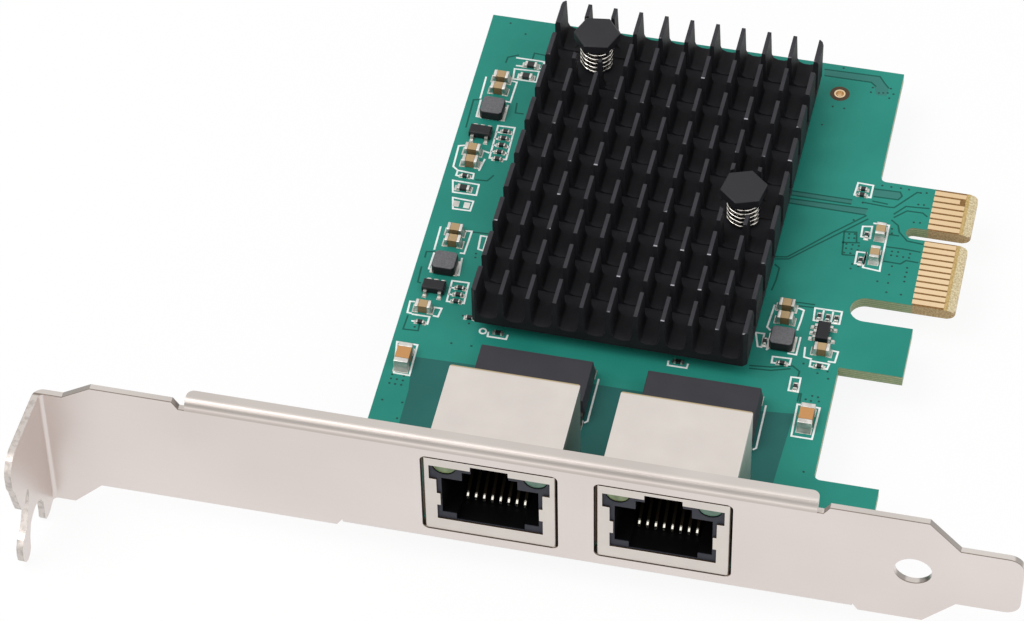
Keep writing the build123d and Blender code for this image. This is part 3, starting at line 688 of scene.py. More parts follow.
def islands(node):
    """The lowest and highest corner, in laying-out mm, of every separate solid of a CAD node."""
    made = merged(node)
    left = set(made.verts)
    boxes = []
    while left:
        group = [left.pop()]
        low = high = None
        for vert in group:
            point = vert.co / MM + CARD_ORIGIN
            low = point.copy() if low is None else Vector(map(min, low, point))
            high = point.copy() if high is None else Vector(map(max, high, point))
            for edge in vert.link_edges:
                other = edge.other_vert(vert)
                if other in left:
                    left.remove(other)
                    group.append(other)
        boxes.append((low, high))
    made.free()
    return boxes


def solids(name, prisms, material, body="card"):
    """One piece of many upright prisms: each is an outline in mm and its low and high level."""
    made = bmesh.new()
    for outline, low, high in prisms:
        base = [made.verts.new(at(x, y, low)) for x, y in outline]
        top = [made.verts.new(at(x, y, high)) for x, y in outline]
        made.faces.new(top)
        made.faces.new(list(reversed(base)))
        for i in range(len(outline)):
            j = (i + 1) % len(outline)
            made.faces.new((base[i], base[j], top[j], top[i]))
    return show(name, closed_mesh(name, made), material, body)


def line_prisms(points, width, low, high, closed=False):
    """A flat line of even width with mitred corners, cut into one prism for each run."""
    spots = [Vector(p) for p in points]
    count = len(spots)
    sides = []
    for i, spot in enumerate(spots):
        before = spot - spots[i - 1] if i or closed else None
        after = spots[(i + 1) % count] - spot if i < count - 1 or closed else None
        into = (before or after).normalized()
        onward = (after or before).normalized()
        square = Vector((-into.y, into.x))
        across = Vector((-(into + onward).y, (into + onward).x))
        across = across.normalized() if across.length > 1e-6 else square
        reach = width / 2 / max(0.45, across.dot(square))
        sides.append((spot + across * reach, spot - across * reach))
    runs = range(count if closed else count - 1)
    prisms = []
    for i in runs:
        start, end = sides[i], sides[(i + 1) % count]
        prisms.append(((start[1], end[1], end[0], start[0]), low, high))
    return prisms


# Printed lines, in mm on the component side
SILK_W = 0.24
SILK_LOW = -0.005
SILK_TOP = 0.018
SILK_CLOSED = (
    ((89.65, 66.78), (91.65, 66.71), (91.64, 64.55), (89.5, 64.6)),
    ((91.47, 59.38), (92.67, 59.6), (92.72, 57.54), (91.55, 57.59)),
    ((91.48, 54.93), (92.64, 54.97), (92.67, 53.03), (91.53, 52.89)),
    ((41.8, 39.66), (43.96, 39.72), (44.12, 36.21), (41.89, 36.13)),
    ((37.27, 28.27), (39.93, 28.26), (40.07, 23.17), (38.07, 23.22)),
    ((43.69, 47.92), (44.57, 47.91), (44.54, 45.46), (43.85, 45.61)),
    ((41.66, 67.37), (43.9, 67.43), (44.0, 61.63), (41.8, 61.48)),
    ((38.24, 58.51), (40.42, 58.36), (40.48, 57.47), (38.22, 57.6)),
    ((38.0, 56.65), (41.5, 56.58), (41.56, 54.69), (38.46, 54.64)),
    ((38.68, 53.69), (41.44, 53.57), (41.39, 51.87), (39.12, 51.8)),
    ((87.85, 44.42), (91.29, 44.47), (91.29, 42.38), (88.0, 42.36)),
    ((88.81, 35.66), (91.16, 35.58), (91.03, 34.72), (88.83, 34.73)),
    ((84.01, 35.41), (86.34, 35.52), (86.31, 34.49), (84.05, 34.39)),
    ((86.87, 32.56), (88.06, 32.62), (88.11, 30.32), (86.91, 30.35)),
    ((88.39, 28.35), (91.22, 28.3), (91.12, 23.18), (88.53, 23.19)),
    ((81.24, 38.88), (82.31, 38.91), (82.36, 36.66), (81.86, 36.65)),
    ((41.56, 77.96), (44.86, 78.13), (44.92, 76.14), (41.75, 76.11)),
)
SILK_OPEN = (
    ((92.72, 60.2), (94.76, 60.23), (94.79, 52.89), (94.83, 52.22), (92.62, 52.44), (92.69, 55.08)),
    ((38.28, 48.46), (38.36, 44.37)),
    ((41.4, 48.32), (42.4, 48.43), (42.28, 44.5), (41.7, 44.48)),
    ((38.47, 43.9), (38.41, 41.08), (39.93, 40.81), (42.42, 40.75), (42.17, 43.7)),
    ((37.98, 35.23), (37.34, 35.19), (37.43, 33.31), (38.02, 33.24)),
    ((38.05, 33.15), (40.35, 33.15), (40.36, 31.92), (38.24, 32.05)),
    ((40.54, 34.81), (41.55, 34.82), (41.38, 33.37), (40.72, 33.42)),
    ((41.33, 80.02), (44.44, 80.04), (45.22, 79.99), (45.04, 78.69), (41.6, 78.6)),
    ((38.18, 75.78), (38.27, 71.72)),
    ((41.0, 75.74), (42.39, 75.61), (42.32, 71.84), (41.55, 71.89)),
    ((38.39, 71.54), (38.49, 68.45), (39.8, 68.32), (42.18, 68.4), (42.14, 71.29)),
    ((38.16, 63.05), (37.39, 62.79), (37.51, 59.06), (38.14, 58.59)),
    ((40.33, 62.69), (41.6, 62.35)),
    ((41.27, 61.17), (40.95, 58.98)),
    ((82.76, 43.94), (82.46, 40.08), (82.97, 39.61)),
    ((85.77, 43.99), (86.53, 43.77), (86.44, 41.85), (86.28, 40.3)),
    ((86.89, 39.29), (86.85, 36.28), (85.7, 36.32)),
    ((82.99, 36.33), (83.46, 36.89)),
    ((89.0, 44.4), (89.0, 42.4)),
    ((90.2, 44.4), (90.2, 42.4)),
    ((88.9, 35.96), (87.87, 36.12), (87.72, 37.77)),
    ((90.84, 37.86), (91.92, 37.8), (91.8, 36.0), (90.88, 35.99)),
    ((84.61, 27.39), (84.63, 20.4), (84.27, 20.06)),
    ((63.4, 27.39), (63.42, 20.4), (63.06, 20.06)),
    ((41.68, 66.2), (43.92, 66.25)), ((41.71, 65.0), (43.94, 65.05)), ((41.74, 63.85), (43.96, 63.9)),
    ((41.77, 62.7), (43.98, 62.75)), ((41.82, 38.5), (44.0, 38.55)), ((41.85, 37.35), (44.05, 37.4)),
    ((48.2, 32.2), (48.25, 31.45), (50.65, 31.45), (50.7, 32.2)),
    ((71.35, 32.1), (71.4, 31.35), (73.8, 31.35), (73.85, 32.1)),
)
RING_SPOT = (47.49, 32.17)
RING_R = 0.42


def circle(x, y, radius, count=20):
    """A round outline as a list of points, in mm."""
    turns = [math.tau * i / count for i in range(count)]
    return [(x + radius * math.cos(turn), y + radius * math.sin(turn)) for turn in turns]


def print_silk():
    """The printed outlines round the parts, and one small ring."""
    prisms = []
    for points in SILK_CLOSED:
        prisms += line_prisms(points, SILK_W, SILK_LOW, SILK_TOP, True)
    for points in SILK_OPEN:
        prisms += line_prisms(points, SILK_W, SILK_LOW, SILK_TOP)
    prisms += line_prisms(circle(*RING_SPOT, RING_R), SILK_W, SILK_LOW, SILK_TOP, True)
    solids("silk_outlines", prisms, SILK)


# What shows through the mask, in mm: dark lines beside copper, wide copper, and a field without any
UNDER_MASK = -0.01
TRACE_TOP = 0.01
BAND_TOP = 0.006
FIELD_TOP = 0.004
TRACE_W = 0.22
TRACES = (
    ((91.82, 66.15), (95.25, 66.26), (95.6, 65.6)), ((91.96, 64.81), (95.18, 64.89), (95.6, 65.6)),
    ((81.12, 63.69), (89.4, 63.68)), ((81.25, 62.94), (89.4, 62.93)),
    ((81.37, 62.3), (91.61, 62.51)), ((81.43, 61.52), (91.49, 61.43)),
    ((81.9, 86.13), (84.6, 86.18), (89.34, 86.27), (90.0, 85.35), (90.84, 84.34)),
    ((82.09, 84.99), (85.48, 84.99), (88.36, 85.0), (89.15, 84.34)),
    ((81.32, 51.97), (82.86, 52.26), (84.95, 54.45), (87.77, 57.49), (91.65, 61.36)),
    ((81.45, 51.61), (83.13, 51.96), (85.66, 54.56), (88.39, 57.28), (91.96, 60.83)),
    ((81.54, 50.72), (82.22, 50.18), (82.17, 48.04), (81.91, 46.26)),
    ((95.01, 58.7), (96.32, 58.68)),
    ((90.7, 63.55), (94.11, 63.37), (94.9, 63.43), (97.4, 66.65), (97.84, 66.64)),
    ((95.02, 62.26), (96.36, 63.94), (99.4, 64.17)),
    ((95.11, 61.69), (96.62, 63.19), (98.67, 63.22), (99.34, 62.67)),
    ((94.89, 61.24), (95.89, 60.46), (96.22, 59.35), (97.45, 58.03), (99.51, 57.87)),
    ((94.92, 56.52), (97.09, 56.58), (99.43, 56.48)),
    ((95.04, 54.01), (97.22, 53.98), (97.83, 54.69), (99.43, 54.63)),
    ((91.95, 64.01), (94.03, 63.85)),
    ((89.29, 58.0), (90.86, 58.23), (91.14, 56.52)), ((89.31, 56.14), (91.58, 56.51)),
    ((89.67, 54.06), (91.52, 54.25)), ((89.29, 58.0), (89.67, 54.06)),
    ((38.59, 44.02), (37.45, 43.88), (37.49, 42.82)), ((37.42, 41.26), (37.55, 38.58), (38.01, 38.49)),
    ((37.61, 32.87), (37.53, 30.49), (39.45, 30.6), (39.39, 31.72)), ((42.42, 48.34), (44.89, 48.46)),
    ((40.15, 78.82), (40.22, 79.89), (41.58, 80.61)), ((43.51, 80.16), (43.55, 81.34), (45.41, 81.2)),
    ((38.39, 71.54), (37.45, 71.34), (37.58, 66.2)), ((43.2, 71.93), (43.38, 70.1), (44.5, 70.13)),
    ((40.81, 57.34), (42.41, 57.47), (43.04, 58.61)),
    ((81.4, 33.38), (84.18, 33.68), (86.75, 34.39), (87.73, 33.67), (87.69, 32.73)),
    ((81.48, 32.93), (84.14, 33.11), (86.56, 33.89)),
    ((88.33, 30.27), (88.31, 28.8)), ((88.55, 30.23), (88.61, 28.68)),
    ((83.11, 44.4), (85.75, 44.94), (87.76, 44.98)), ((85.71, 44.36), (87.7, 44.49)),
)
BANDS = (
    ((81.12, 63.69), (89.4, 63.68), (89.4, 62.93), (81.25, 62.94)),
    ((81.37, 62.3), (91.61, 62.51), (91.49, 61.43), (81.43, 61.52)),
    ((91.82, 66.15), (95.25, 66.26), (95.6, 65.6), (95.18, 64.89), (91.96, 64.81)),
    ((81.9, 86.13), (88.4, 86.25), (88.4, 85.0), (82.09, 84.99)),
    (
        (88.4, 86.25), (89.34, 86.27), (90.84, 84.34), (90.73, 82.91),
        (89.39, 82.86), (89.0, 84.0), (88.4, 85.0),
    ),
)
BARE_FIELD = (
    (39.75, 26.3), (47.9, 26.5), (84.5, 26.4), (88.25, 26.77),
    (87.92, 20.72), (87.0, 2.0), (40.75, 2.0), (40.51, 20.77),
)


def lay_traces():
    """The lines, bands and field under the mask, as thin skins."""
    prisms = []
    for points in TRACES:
        prisms += line_prisms(points, TRACE_W, UNDER_MASK, TRACE_TOP)
    solids("covered_traces", prisms, TRACE)
    bands = [(outline, UNDER_MASK, BAND_TOP) for outline in BANDS]
    solids("covered_bands", bands, BAND)
    solids("bare_mask_field", [(BARE_FIELD, UNDER_MASK, FIELD_TOP)], BARE_MASK)


# Drilled holes that the mask covers, in mm on the component side
VIAS = (
    (92.79, 66.95), (93.97, 66.94), (95.22, 66.96), (96.28, 66.92), (97.87, 66.65), (98.62, 66.8),
    (97.87, 64.59), (98.59, 64.64), (97.78, 61.41), (98.58, 61.48), (95.83, 55.89), (96.62, 55.94),
    (98.17, 55.93), (95.83, 55.21), (96.59, 55.21), (97.38, 55.22), (98.14, 55.24), (96.23, 53.38),
    (98.17, 53.49), (98.22, 52.73), (98.13, 51.93), (98.18, 51.12), (98.11, 48.85), (96.11, 51.9),
    (96.2, 50.47), (94.82, 50.48), (96.24, 48.88), (91.2, 52.73), (91.14, 51.94), (89.99, 57.76),
    (90.69, 57.9), (90.03, 57.08), (90.74, 57.17), (89.92, 55.97), (90.72, 56.0), (91.52, 55.97),
    (89.98, 55.24), (90.7, 55.25), (91.5, 55.23), (89.89, 54.46), (90.68, 54.51), (95.21, 59.73),
    (90.79, 63.47), (43.74, 44.8), (43.82, 44.14), (38.88, 31.15), (44.03, 29.43), (46.6, 29.49),
    (39.46, 22.22), (39.43, 21.48), (37.93, 22.25), (37.9, 21.48), (44.44, 34.19), (45.49, 33.08),
    (87.99, 35.06), (89.27, 29.36), (89.97, 30.06), (90.71, 29.99), (89.95, 29.23), (90.92, 29.34),
    (91.43, 33.22), (89.97, 33.85), (91.16, 34.37), (38.65, 21.47), (38.67, 22.26), (37.93, 22.94),
    (39.41, 22.97), (37.66, 18.67), (40.22, 18.72), (40.16, 16.11), (91.0, 17.9), (89.4, 12.0),
    (97.1, 12.6), (92.6, 9.4), (84.36, 86.84), (88.72, 84.09), (88.61, 83.19), (91.09, 84.37),
    (91.59, 83.44), (91.16, 82.6), (89.66, 83.27), (90.23, 83.39), (90.8, 83.51), (84.11, 79.64),
    (85.65, 79.59), (83.29, 76.1), (95.33, 58.97), (90.15, 60.26), (92.03, 52.51), (41.6, 84.6),
    (39.2, 86.2),
)
VIA_LOW = -0.012

# Lower radius, upper radius and height, in mm, and the number of sides
VIA_DOT = (0.17, 0.136, 0.03, 12)
WIRE_BEAD = (0.24, 0.46, 0.55, 16)
LEG_BEAD = (0.55, 1.05, 0.7, 20)
BEAD_SUNK = 0.02


def make_repeat_tree(name, rounded):
    """A tree that sets one small cone on every point it is given, with the cone's sizes as inputs."""
    tree = bpy.data.node_groups.new(name, "GeometryNodeTree")
    tree.interface.new_socket(name="Geometry", in_out="INPUT", socket_type="NodeSocketGeometry")
    for key in ("Radius", "Top radius", "Height"):
        tree.interface.new_socket(name=key, in_out="INPUT", socket_type="NodeSocketFloat")
    tree.interface.new_socket(name="Sides", in_out="INPUT", socket_type="NodeSocketInt")
    tree.interface.new_socket(name="Material", in_out="INPUT", socket_type="NodeSocketMaterial")
    tree.interface.new_socket(name="Geometry", in_out="OUTPUT", socket_type="NodeSocketGeometry")
    add = tree.nodes.new
    link = tree.links.new
    given = add("NodeGroupInput")
    out = add("NodeGroupOutput")
    cone = add("GeometryNodeMeshCone")
    link(given.outputs["Sides"], cone.inputs["Vertices"])
    link(given.outputs["Radius"], cone.inputs["Radius Bottom"])
    link(given.outputs["Top radius"], cone.inputs["Radius Top"])
    link(given.outputs["Height"], cone.inputs["Depth"])
    spread = add("GeometryNodeInstanceOnPoints")
    link(given.outputs["Geometry"], spread.inputs["Points"])
    link(cone.outputs["Mesh"], spread.inputs["Instance"])
    smooth = add("GeometryNodeSetShadeSmooth")
    smooth.inputs["Shade Smooth"].default_value = rounded
    real = add("GeometryNodeRealizeInstances")
    link(spread.outputs["Instances"], real.inputs["Geometry"])
    link(real.outputs["Geometry"], smooth.inputs["Geometry"])
    paint = add("GeometryNodeSetMaterial")
    link(smooth.outputs["Geometry"], paint.inputs["Geometry"])
    link(given.outputs["Material"], paint.inputs["Material"])
    link(paint.outputs["Geometry"], out.inputs["Geometry"])
    return tree


def grow(name, points, tree, values, body="card"):
    """Run a tree over a set of points and keep the result as a plain piece."""
    seed = bpy.data.meshes.new(name)
    seed.from_pydata([tuple(p) for p in points], [], [])
    obj = bpy.data.objects.new(name, seed)
    bpy.context.scene.collection.objects.link(obj)
    modifier = obj.modifiers.new("grow", "NODES")
    modifier.node_group = tree
    for item in tree.interface.items_tree:
        if item.item_type == "SOCKET" and item.in_out == "INPUT" and item.name in values:
            modifier[item.identifier] = values[item.name]
    settle(obj)
    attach(obj, body)
    return obj


STUDS = make_repeat_tree("small studs", rounded=False)
BEADS = make_repeat_tree("solder beads", rounded=True)


def cone_inputs(low_r, high_r, height, sides, material):
    """The inputs of a repeat tree, from sizes in mm."""
    return {
        "Radius": low_r * MM, "Top radius": high_r * MM, "Height": height * MM,
        "Sides": sides, "Material": material,
    }


def drill_vias():
    """A small dark dot on each covered hole."""
    points = [at(x, y, VIA_LOW) for x, y in VIAS]
    grow("drilled_dots", points, STUDS, cone_inputs(*VIA_DOT, DRILLED))


def solder_tails():
    """Solder beads under the board where the socket wires and shield legs come through."""
    under = -BOARD_T + BEAD_SUNK
    wires = []
    legs = []
    for x in JACK_X:
        first = x - (WIRE_COUNT - 1) / 2 * WIRE_PITCH
        for i in range(WIRE_COUNT):
            wires.append(at(first + i * WIRE_PITCH, WIRE_ROWS[i % 2], under - WIRE_BEAD[2]))
        for side in (-1, 1):
            legs.append(at(x + side * LEG_X, LEG_Y, under - LEG_BEAD[2]))
    tin = FINISH["tinned_lead"]
    grow("wire_solder_beads", wires, BEADS, cone_inputs(*WIRE_BEAD, tin))
    grow("leg_solder_beads", legs, BEADS, cone_inputs(*LEG_BEAD, tin))


COIL_STEPS = 28


def make_coil_tree():
    """A tree that winds a round wire into an even coil."""
    tree = bpy.data.node_groups.new("pin spring coil", "GeometryNodeTree")
    for key in ("Turns", "Coil radius", "Height", "Wire radius"):
        tree.interface.new_socket(name=key, in_out="INPUT", socket_type="NodeSocketFloat")
    tree.interface.new_socket(name="Steps", in_out="INPUT", socket_type="NodeSocketInt")
    tree.interface.new_socket(name="Material", in_out="INPUT", socket_type="NodeSocketMaterial")
    tree.interface.new_socket(name="Geometry", in_out="OUTPUT", socket_type="NodeSocketGeometry")
    add = tree.nodes.new
    link = tree.links.new
    given = add("NodeGroupInput")
    out = add("NodeGroupOutput")
    spiral = add("GeometryNodeCurveSpiral")
    spiral.inputs["Reverse"].default_value = False
    link(given.outputs["Steps"], spiral.inputs["Resolution"])
    link(given.outputs["Turns"], spiral.inputs["Rotations"])
    link(given.outputs["Coil radius"], spiral.inputs["Start Radius"])
    link(given.outputs["Coil radius"], spiral.inputs["End Radius"])
    link(given.outputs["Height"], spiral.inputs["Height"])
    ring = add("GeometryNodeCurvePrimitiveCircle")
    ring.inputs["Resolution"].default_value = 10
    link(given.outputs["Wire radius"], ring.inputs["Radius"])
    sweep = add("GeometryNodeCurveToMesh")
    sweep.inputs["Fill Caps"].default_value = True
    link(spiral.outputs["Curve"], sweep.inputs["Curve"])
    link(ring.outputs["Curve"], sweep.inputs["Profile Curve"])
    smooth = add("GeometryNodeSetShadeSmooth")
    link(sweep.outputs["Mesh"], smooth.inputs["Geometry"])
    real = add("GeometryNodeRealizeInstances")
    link(smooth.outputs["Geometry"], real.inputs["Geometry"])
    paint = add("GeometryNodeSetMaterial")
    link(real.outputs["Geometry"], paint.inputs["Geometry"])
    link(given.outputs["Material"], paint.inputs["Material"])
    link(paint.outputs["Geometry"], out.inputs["Geometry"])
    return tree


def wind_springs():
    """Each pin's coil, wound from round wire in place of its CAD spring."""
    tree = make_coil_tree()
    low = SPRING_LOW + SPRING_WIRE / 2
    high = SPRING_HIGH - SPRING_WIRE / 2
    for number, (x, y) in enumerate(PIN_SPOTS, 1):
        name = f"pin_spring_{number}_wire"
        obj = grow(name, [(0, 0, 0)], tree, {
            "Turns": SPRING_TURNS, "Coil radius": SPRING_R * MM, "Height": (high - low) * MM,
            "Wire radius": SPRING_WIRE / 2 * MM, "Steps": COIL_STEPS, "Material": FINISH["spring_wire"],
        })
        obj.data.transform(Matrix.Translation(at(x, y, low)))
        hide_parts(f"pin_spring_{number}")
        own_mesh(obj)


# The earthing leaves' bow: depth into the card, and how far it stands off the shield, in mm
LEAF_BOW = ((1.0, 0.27), (1.4, 0.29), (2.2, 0.26), (3.2, 0.16), (4.2, 0.03))
LEAF_T = 0.06
LEAF_LOW = 1.0
LEAF_TOP = 12.6


def add_earthing_leaves_and_gap_shade():
    """A bowed brass leaf on each flank of each socket, which presses on the bracket's window; its dark brass
    also stands as painted shade in the gap.
    """
    made = bmesh.new()
    for x in JACK_X:
        for side in (-1, 1):
            rows = []
            for y, out in LEAF_BOW:
                far = x + side * (SHIELD_HALF + out)
                near = far - side * LEAF_T
                ring = ((near, LEAF_LOW), (near, LEAF_TOP), (far, LEAF_TOP), (far, LEAF_LOW))
                rows.append([made.verts.new(at(px, y, z)) for px, z in ring])
            for one, two in zip(rows, rows[1:]):
                for i in range(4):
                    j = (i + 1) % 4
                    made.faces.new((one[i], one[j], two[j], two[i]))
            made.faces.new(rows[0])
            made.faces.new(list(reversed(rows[-1])))
    show("earthing_leaves_and_gap_shade", closed_mesh("earthing_leaves_and_gap_shade", made), EARTHING_AND_GAP_SHADE)


def dress_nodes():
    """Rounded copies of the metal and moulded pieces, each with its own edge radius in mm."""
    dressed("bracket", 0.1, corners=[(x, FLANGE_DEPTH, FLANGE_ROUND) for x in FLANGE_ENDS])
    dressed("heat_sink", 0.05, 1)
    dressed("transformer_1", 0.12)
    dressed("transformer_2", 0.12)
    for number in (1, 2):
        dressed(f"jack_{number}_shield", 0.05)
        dressed(f"jack_{number}_housing", 0.05, 1)
        dressed(f"push_pin_{number}", 0.1, body=f"pin_{number}")
    dressed("power_inductors", 0.08)
    dressed("regulators", 0.05)
    dressed("small_capacitor_bodies", 0.03, 1)
    dressed("small_capacitor_ends", 0.07)
    dressed("large_capacitor_bodies", 0.04, 1)
    dressed("large_capacitor_ends", 0.09)
    dressed("resistor_ends", 0.05)
    dressed("tiny_resistor_ends", 0.04, 1)
    dressed("bracket_screws", 0.12)


# How far the solder runs out from each kind of part, and the levels and margins of its pads, in mm
FILLET_REACH = {"small_capacitor": 0.3, "large_capacitor": 0.35, "resistor": 0.3, "tiny_resistor": 0.2}
FILLET_TOE = 0.03
PAD_LOW = -0.01
PAD_TOP = 0.02
PAD_MARGIN = 0.08
THICK_PAD_TOP = 0.03
EMPTY_PAD_X = (39.35, 40.75)
EMPTY_PAD_Y = 52.7


def box_outline(low_x, low_y, high_x, high_y):
    """A four-cornered outline along the axes."""
    return [(low_x, low_y), (high_x, low_y), (high_x, high_y), (low_x, high_y)]


def add_fillet(made, face, out, half, rise, reach):
    """A hollow slope of solder from the middle of a terminal's face, outwards and down to its pad."""
    side = Vector((-out.y, out.x, 0))
    corners = []
    for offset, level in ((0.0, rise), (reach * 0.35, rise * 0.38), (reach, FILLET_TOE)):
        for hand in (-1, 1):
            point = face + out * offset + side * hand * half * (0.98 - 0.06 * offset / reach)
            corners.append(made.verts.new(at(point.x, point.y, level)))
    foot = []
    for offset in (0.0, reach):
        for hand in (-1, 1):
            point = face + out * offset + side * hand * half * 0.95
            foot.append(made.verts.new(at(point.x, point.y, PAD_LOW)))
    made.faces.new((corners[0], corners[1], corners[3], corners[2]))
    made.faces.new((corners[2], corners[3], corners[5], corners[4]))
    made.faces.new((corners[4], corners[5], foot[3], foot[2]))
    made.faces.new((corners[0], corners[2], corners[4], foot[2], foot[0]))
    made.faces.new((corners[1], corners[3], corners[5], foot[3], foot[1]))
    made.faces.new((corners[0], corners[1], foot[1], foot[0]))
    made.faces.new((foot[0], foot[1], foot[3], foot[2]))


def solder_joints():
    """Pads and solder fillets outside the ends of every surface part."""
    made = bmesh.new()
    pads = []
    for kind, reach in FILLET_REACH.items():
        bodies = [(low + high) / 2 for low, high in islands(kind + "_bodies")]
        for low, high in islands(kind + "_ends"):
            middle = (low + high) / 2
            body = min(bodies, key=lambda spot: (spot - middle).length)
            out = middle - body
            if abs(out.x) > abs(out.y):
                out = Vector((math.copysign(1, out.x), 0, 0))
            else:
                out = Vector((0, math.copysign(1, out.y), 0))
            side = Vector((-out.y, out.x, 0))
            half = abs((high - low).dot(side)) / 2
            length = abs((high - low).dot(out))
            face = middle + out * length / 2
            add_fillet(made, face, out, half, (high.z - low.z) * 0.55, reach)
            inner = face - out * length * 1.05
            outer = face + out * (reach + PAD_MARGIN)
            wide = half + 0.07
            spots = (inner - side * wide, outer - side * wide, outer + side * wide, inner + side * wide)
            pads.append(([tuple(spot.xy) for spot in spots], PAD_LOW, PAD_TOP))
    mesh = closed_mesh("solder_fillets", made)
    for face in mesh.polygons:
        face.use_smooth = True
    mesh.set_sharp_from_angle(angle=math.radians(60))
    show("solder_fillets", mesh, FINISH["tinned_lead"])
    for node in ("regulator_leads", "transformer_1_leads", "transformer_2_leads"):
        for low, high in islands(node):
            outline = box_outline(
                low.x - PAD_MARGIN, low.y - PAD_MARGIN, high.x + PAD_MARGIN, high.y + PAD_MARGIN
            )
            pads.append((outline, PAD_LOW, PAD_TOP))
    for low, high in islands("inductor_terminals"):
        outline = box_outline(low.x - 0.2, low.y - 0.1, high.x + 0.2, high.y + 0.1)
        pads.append((outline, PAD_LOW, THICK_PAD_TOP))
    for x in EMPTY_PAD_X:
        outline = box_outline(x - 0.4, EMPTY_PAD_Y - 0.5, x + 0.4, EMPTY_PAD_Y + 0.5)
        pads.append((outline, PAD_LOW, THICK_PAD_TOP))
    solids("solder_pads", pads, FINISH["tinned_lead"])


# The middles of the two front resistors, in mm
FRONT_RESISTORS = ((49.45, 32.15), (72.6, 32.05))

# Half their body's length and width, and its levels; then, for a pad and for an end cap, where it
# starts and ends from the middle, half its width, and its levels
FRONT_BODY = (0.5, 0.25, 0.03, 0.36)
FRONT_PAD = (0.3, 0.78, 0.3, PAD_LOW, THICK_PAD_TOP)
FRONT_CAP = (0.32, 0.52, 0.27, 0.0, 0.38)


def set_front_resistors():
    """Two small resistors that look out from under the sink's front edge."""
    bodies = []
    ends = []
    for x, y in FRONT_RESISTORS:
        along, across, low, high = FRONT_BODY
        bodies.append((box_outline(x - along, y - across, x + along, y + across), low, high))
        for side in (-1, 1):
            for start, end, across, low, high in (FRONT_PAD, FRONT_CAP):
                near, far = sorted((x + side * start, x + side * end))
                ends.append((box_outline(near, y - across, far, y + across), low, high))
    solids("front_resistor_bodies", bodies, FINISH["dark_ceramic"])
    solids("front_resistor_ends", ends, FINISH["tinned_lead"])


TOOLING_HOLE = (84.65, 82.1)
# Each tube's inner and outer radius and low and high level, in mm
PLATING = ((0.48, 0.54, -BOARD_T, 0.03), (0.5, 0.74, -0.01, 0.03))
BARE_RING = ((0.72, 1.3, -0.01, 0.014),)


def tube(made, inner, outer, low, high, count=32):
    """Add an upright tube round the tooling hole to a mesh."""
    rings = []
    for radius, level in ((inner, low), (inner, high), (outer, high), (outer, low)):
        rings.append([made.verts.new(at(x, y, level)) for x, y in circle(*TOOLING_HOLE, radius, count)])
    for i in range(4):
        one, two = rings[i], rings[(i + 1) % 4]
        for j in range(count):
            k = (j + 1) % count
            made.faces.new((one[j], one[k], two[k], two[j]))


def plate_tooling_hole():
    """The plated tooling hole: a gold lining and rim, with a bare brown margin round it."""
    for name, tubes, material, slot in (
        ("tooling_hole_plating", PLATING, FINISH["gold_pad"], "gold_pad"),
        ("tooling_hole_margin", BARE_RING, MARGIN, "solder_mask"),
    ):
        made = bmesh.new()
        for row in tubes:
            tube(made, *row)
        show(name, closed_mesh(name, made), material)


dress_nodes()
print_silk()
lay_traces()
drill_vias()
solder_tails()
solder_joints()
wind_springs()
add_earthing_leaves_and_gap_shade()
plate_tooling_hole()
set_front_resistors()


# Studio

# The floor's level in mm and its half width in metres
FLOOR_LEVEL = -6.75
FLOOR_HALF = 3.0

# The floor's own tone, the share of plain white that the camera sees on it, and the world's light
FLOOR_TONE = 0.92
FLOOR_GLOW = 0.9
WORLD_LEVEL = 0.62

LAMP_AIM = (60, 40, 0)


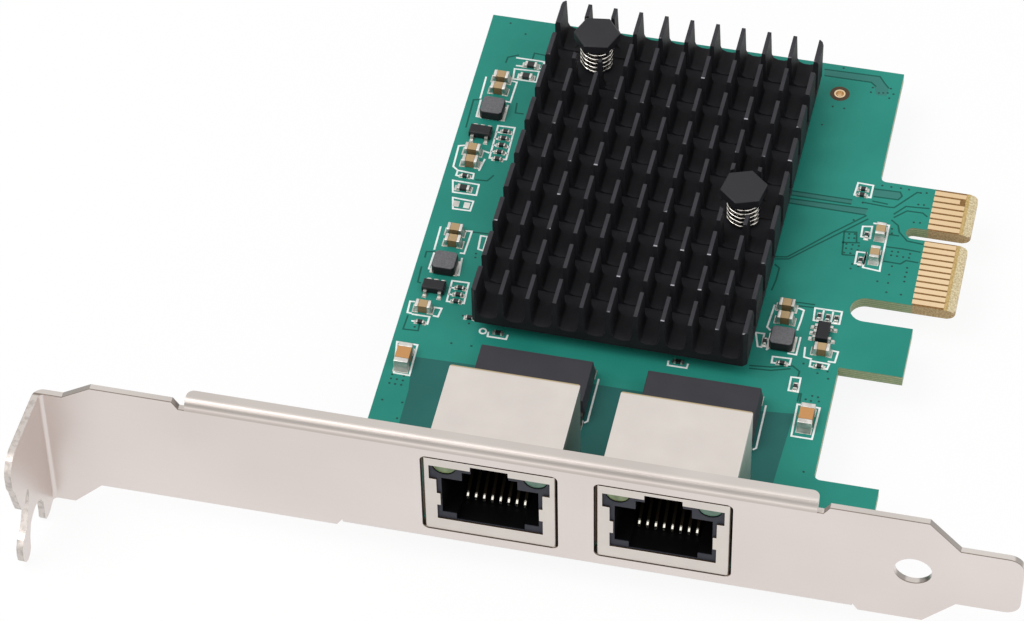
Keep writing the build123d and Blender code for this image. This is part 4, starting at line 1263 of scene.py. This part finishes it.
def make_floor():
    """A pale floor that the camera and reflections see as near white, and that is clear from below."""
    mesh = bpy.data.meshes.new("floor")
    level = at(0, 0, FLOOR_LEVEL).z
    outline = box_outline(-FLOOR_HALF, -FLOOR_HALF, FLOOR_HALF, FLOOR_HALF)
    mesh.from_pydata([(x, y, level) for x, y in outline], [], [(0, 1, 2, 3)])
    obj = bpy.data.objects.new("floor", mesh)
    bpy.context.scene.collection.objects.link(obj)
    skin = Finish("pale floor", Roughness=0.9, Specular_IOR_Level=0.0)
    grain = skin.group(GRAIN, Fine=900.0, Wide=3.0)
    skin.feed("Base Color", skin.mix(grain.outputs["Patches"], (FLOOR_TONE,) * 3, (FLOOR_TONE + 0.02,) * 3))
    glow = skin.nodes.new("ShaderNodeEmission")
    glow.inputs["Color"].default_value = (1, 1, 1, 1)
    rays = skin.nodes.new("ShaderNodeLightPath")
    seen = skin.math("MAXIMUM", rays.outputs["Is Camera Ray"], rays.outputs["Is Glossy Ray"])
    seen = skin.math("MAXIMUM", seen, rays.outputs["Is Transmission Ray"])
    blend = skin.nodes.new("ShaderNodeMixShader")
    skin.links.new(skin.math("MULTIPLY", seen, FLOOR_GLOW), blend.inputs[0])
    skin.links.new(skin.surface.outputs[0], blend.inputs[1])
    skin.links.new(glow.outputs[0], blend.inputs[2])
    clear = skin.nodes.new("ShaderNodeBsdfTransparent")
    geometry = skin.nodes.new("ShaderNodeNewGeometry")
    from_below = skin.nodes.new("ShaderNodeMixShader")
    skin.links.new(geometry.outputs["Backfacing"], from_below.inputs[0])
    skin.links.new(blend.outputs[0], from_below.inputs[1])
    skin.links.new(clear.outputs[0], from_below.inputs[2])
    skin.links.new(from_below.outputs[0], skin.nodes["Material Output"].inputs["Surface"])
    mesh.materials.append(skin.material)


def make_world():
    """White to the camera, to reflections and through clear matter, softer as light on the card."""
    world = bpy.data.worlds.new("white studio")
    world.use_nodes = True
    nodes, links = world.node_tree.nodes, world.node_tree.links
    shown = nodes["Background"]
    shown.inputs["Color"].default_value = (1, 1, 1, 1)
    soft = nodes.new("ShaderNodeBackground")
    soft.inputs["Color"].default_value = (1, 1, 1, 1)
    soft.inputs["Strength"].default_value = WORLD_LEVEL
    rays = nodes.new("ShaderNodeLightPath")
    first = nodes.new("ShaderNodeMath")
    first.operation = "MAXIMUM"
    links.new(rays.outputs["Is Camera Ray"], first.inputs[0])
    links.new(rays.outputs["Is Glossy Ray"], first.inputs[1])
    seen = nodes.new("ShaderNodeMath")
    seen.operation = "MAXIMUM"
    links.new(first.outputs[0], seen.inputs[0])
    links.new(rays.outputs["Is Transmission Ray"], seen.inputs[1])
    blend = nodes.new("ShaderNodeMixShader")
    links.new(seen.outputs[0], blend.inputs[0])
    links.new(soft.outputs[0], blend.inputs[1])
    links.new(shown.outputs[0], blend.inputs[2])
    links.new(blend.outputs[0], nodes["World Output"].inputs["Surface"])
    bpy.context.scene.world = world


def soft_box(name, place, size, power):
    """A square lamp at a place in mm, aimed at the card, with its size in metres and power in watts."""
    data = bpy.data.lights.new(name, "AREA")
    data.shape = "SQUARE"
    data.size = size
    data.energy = power
    obj = bpy.data.objects.new(name, data)
    bpy.context.scene.collection.objects.link(obj)
    place = at(*place)
    ahead = at(*LAMP_AIM) - place
    obj.matrix_world = Matrix.Translation(place) @ ahead.to_track_quat("-Z", "Y").to_matrix().to_4x4()


make_floor()
make_world()
soft_box("key", (-250, -150, 620), 0.45, 2.2)
soft_box("fill", (480, -120, 300), 0.5, 0.7)
soft_box("front", (40, -560, 90), 0.5, 0.7)

bpy.context.scene.view_settings.view_transform = "Standard"
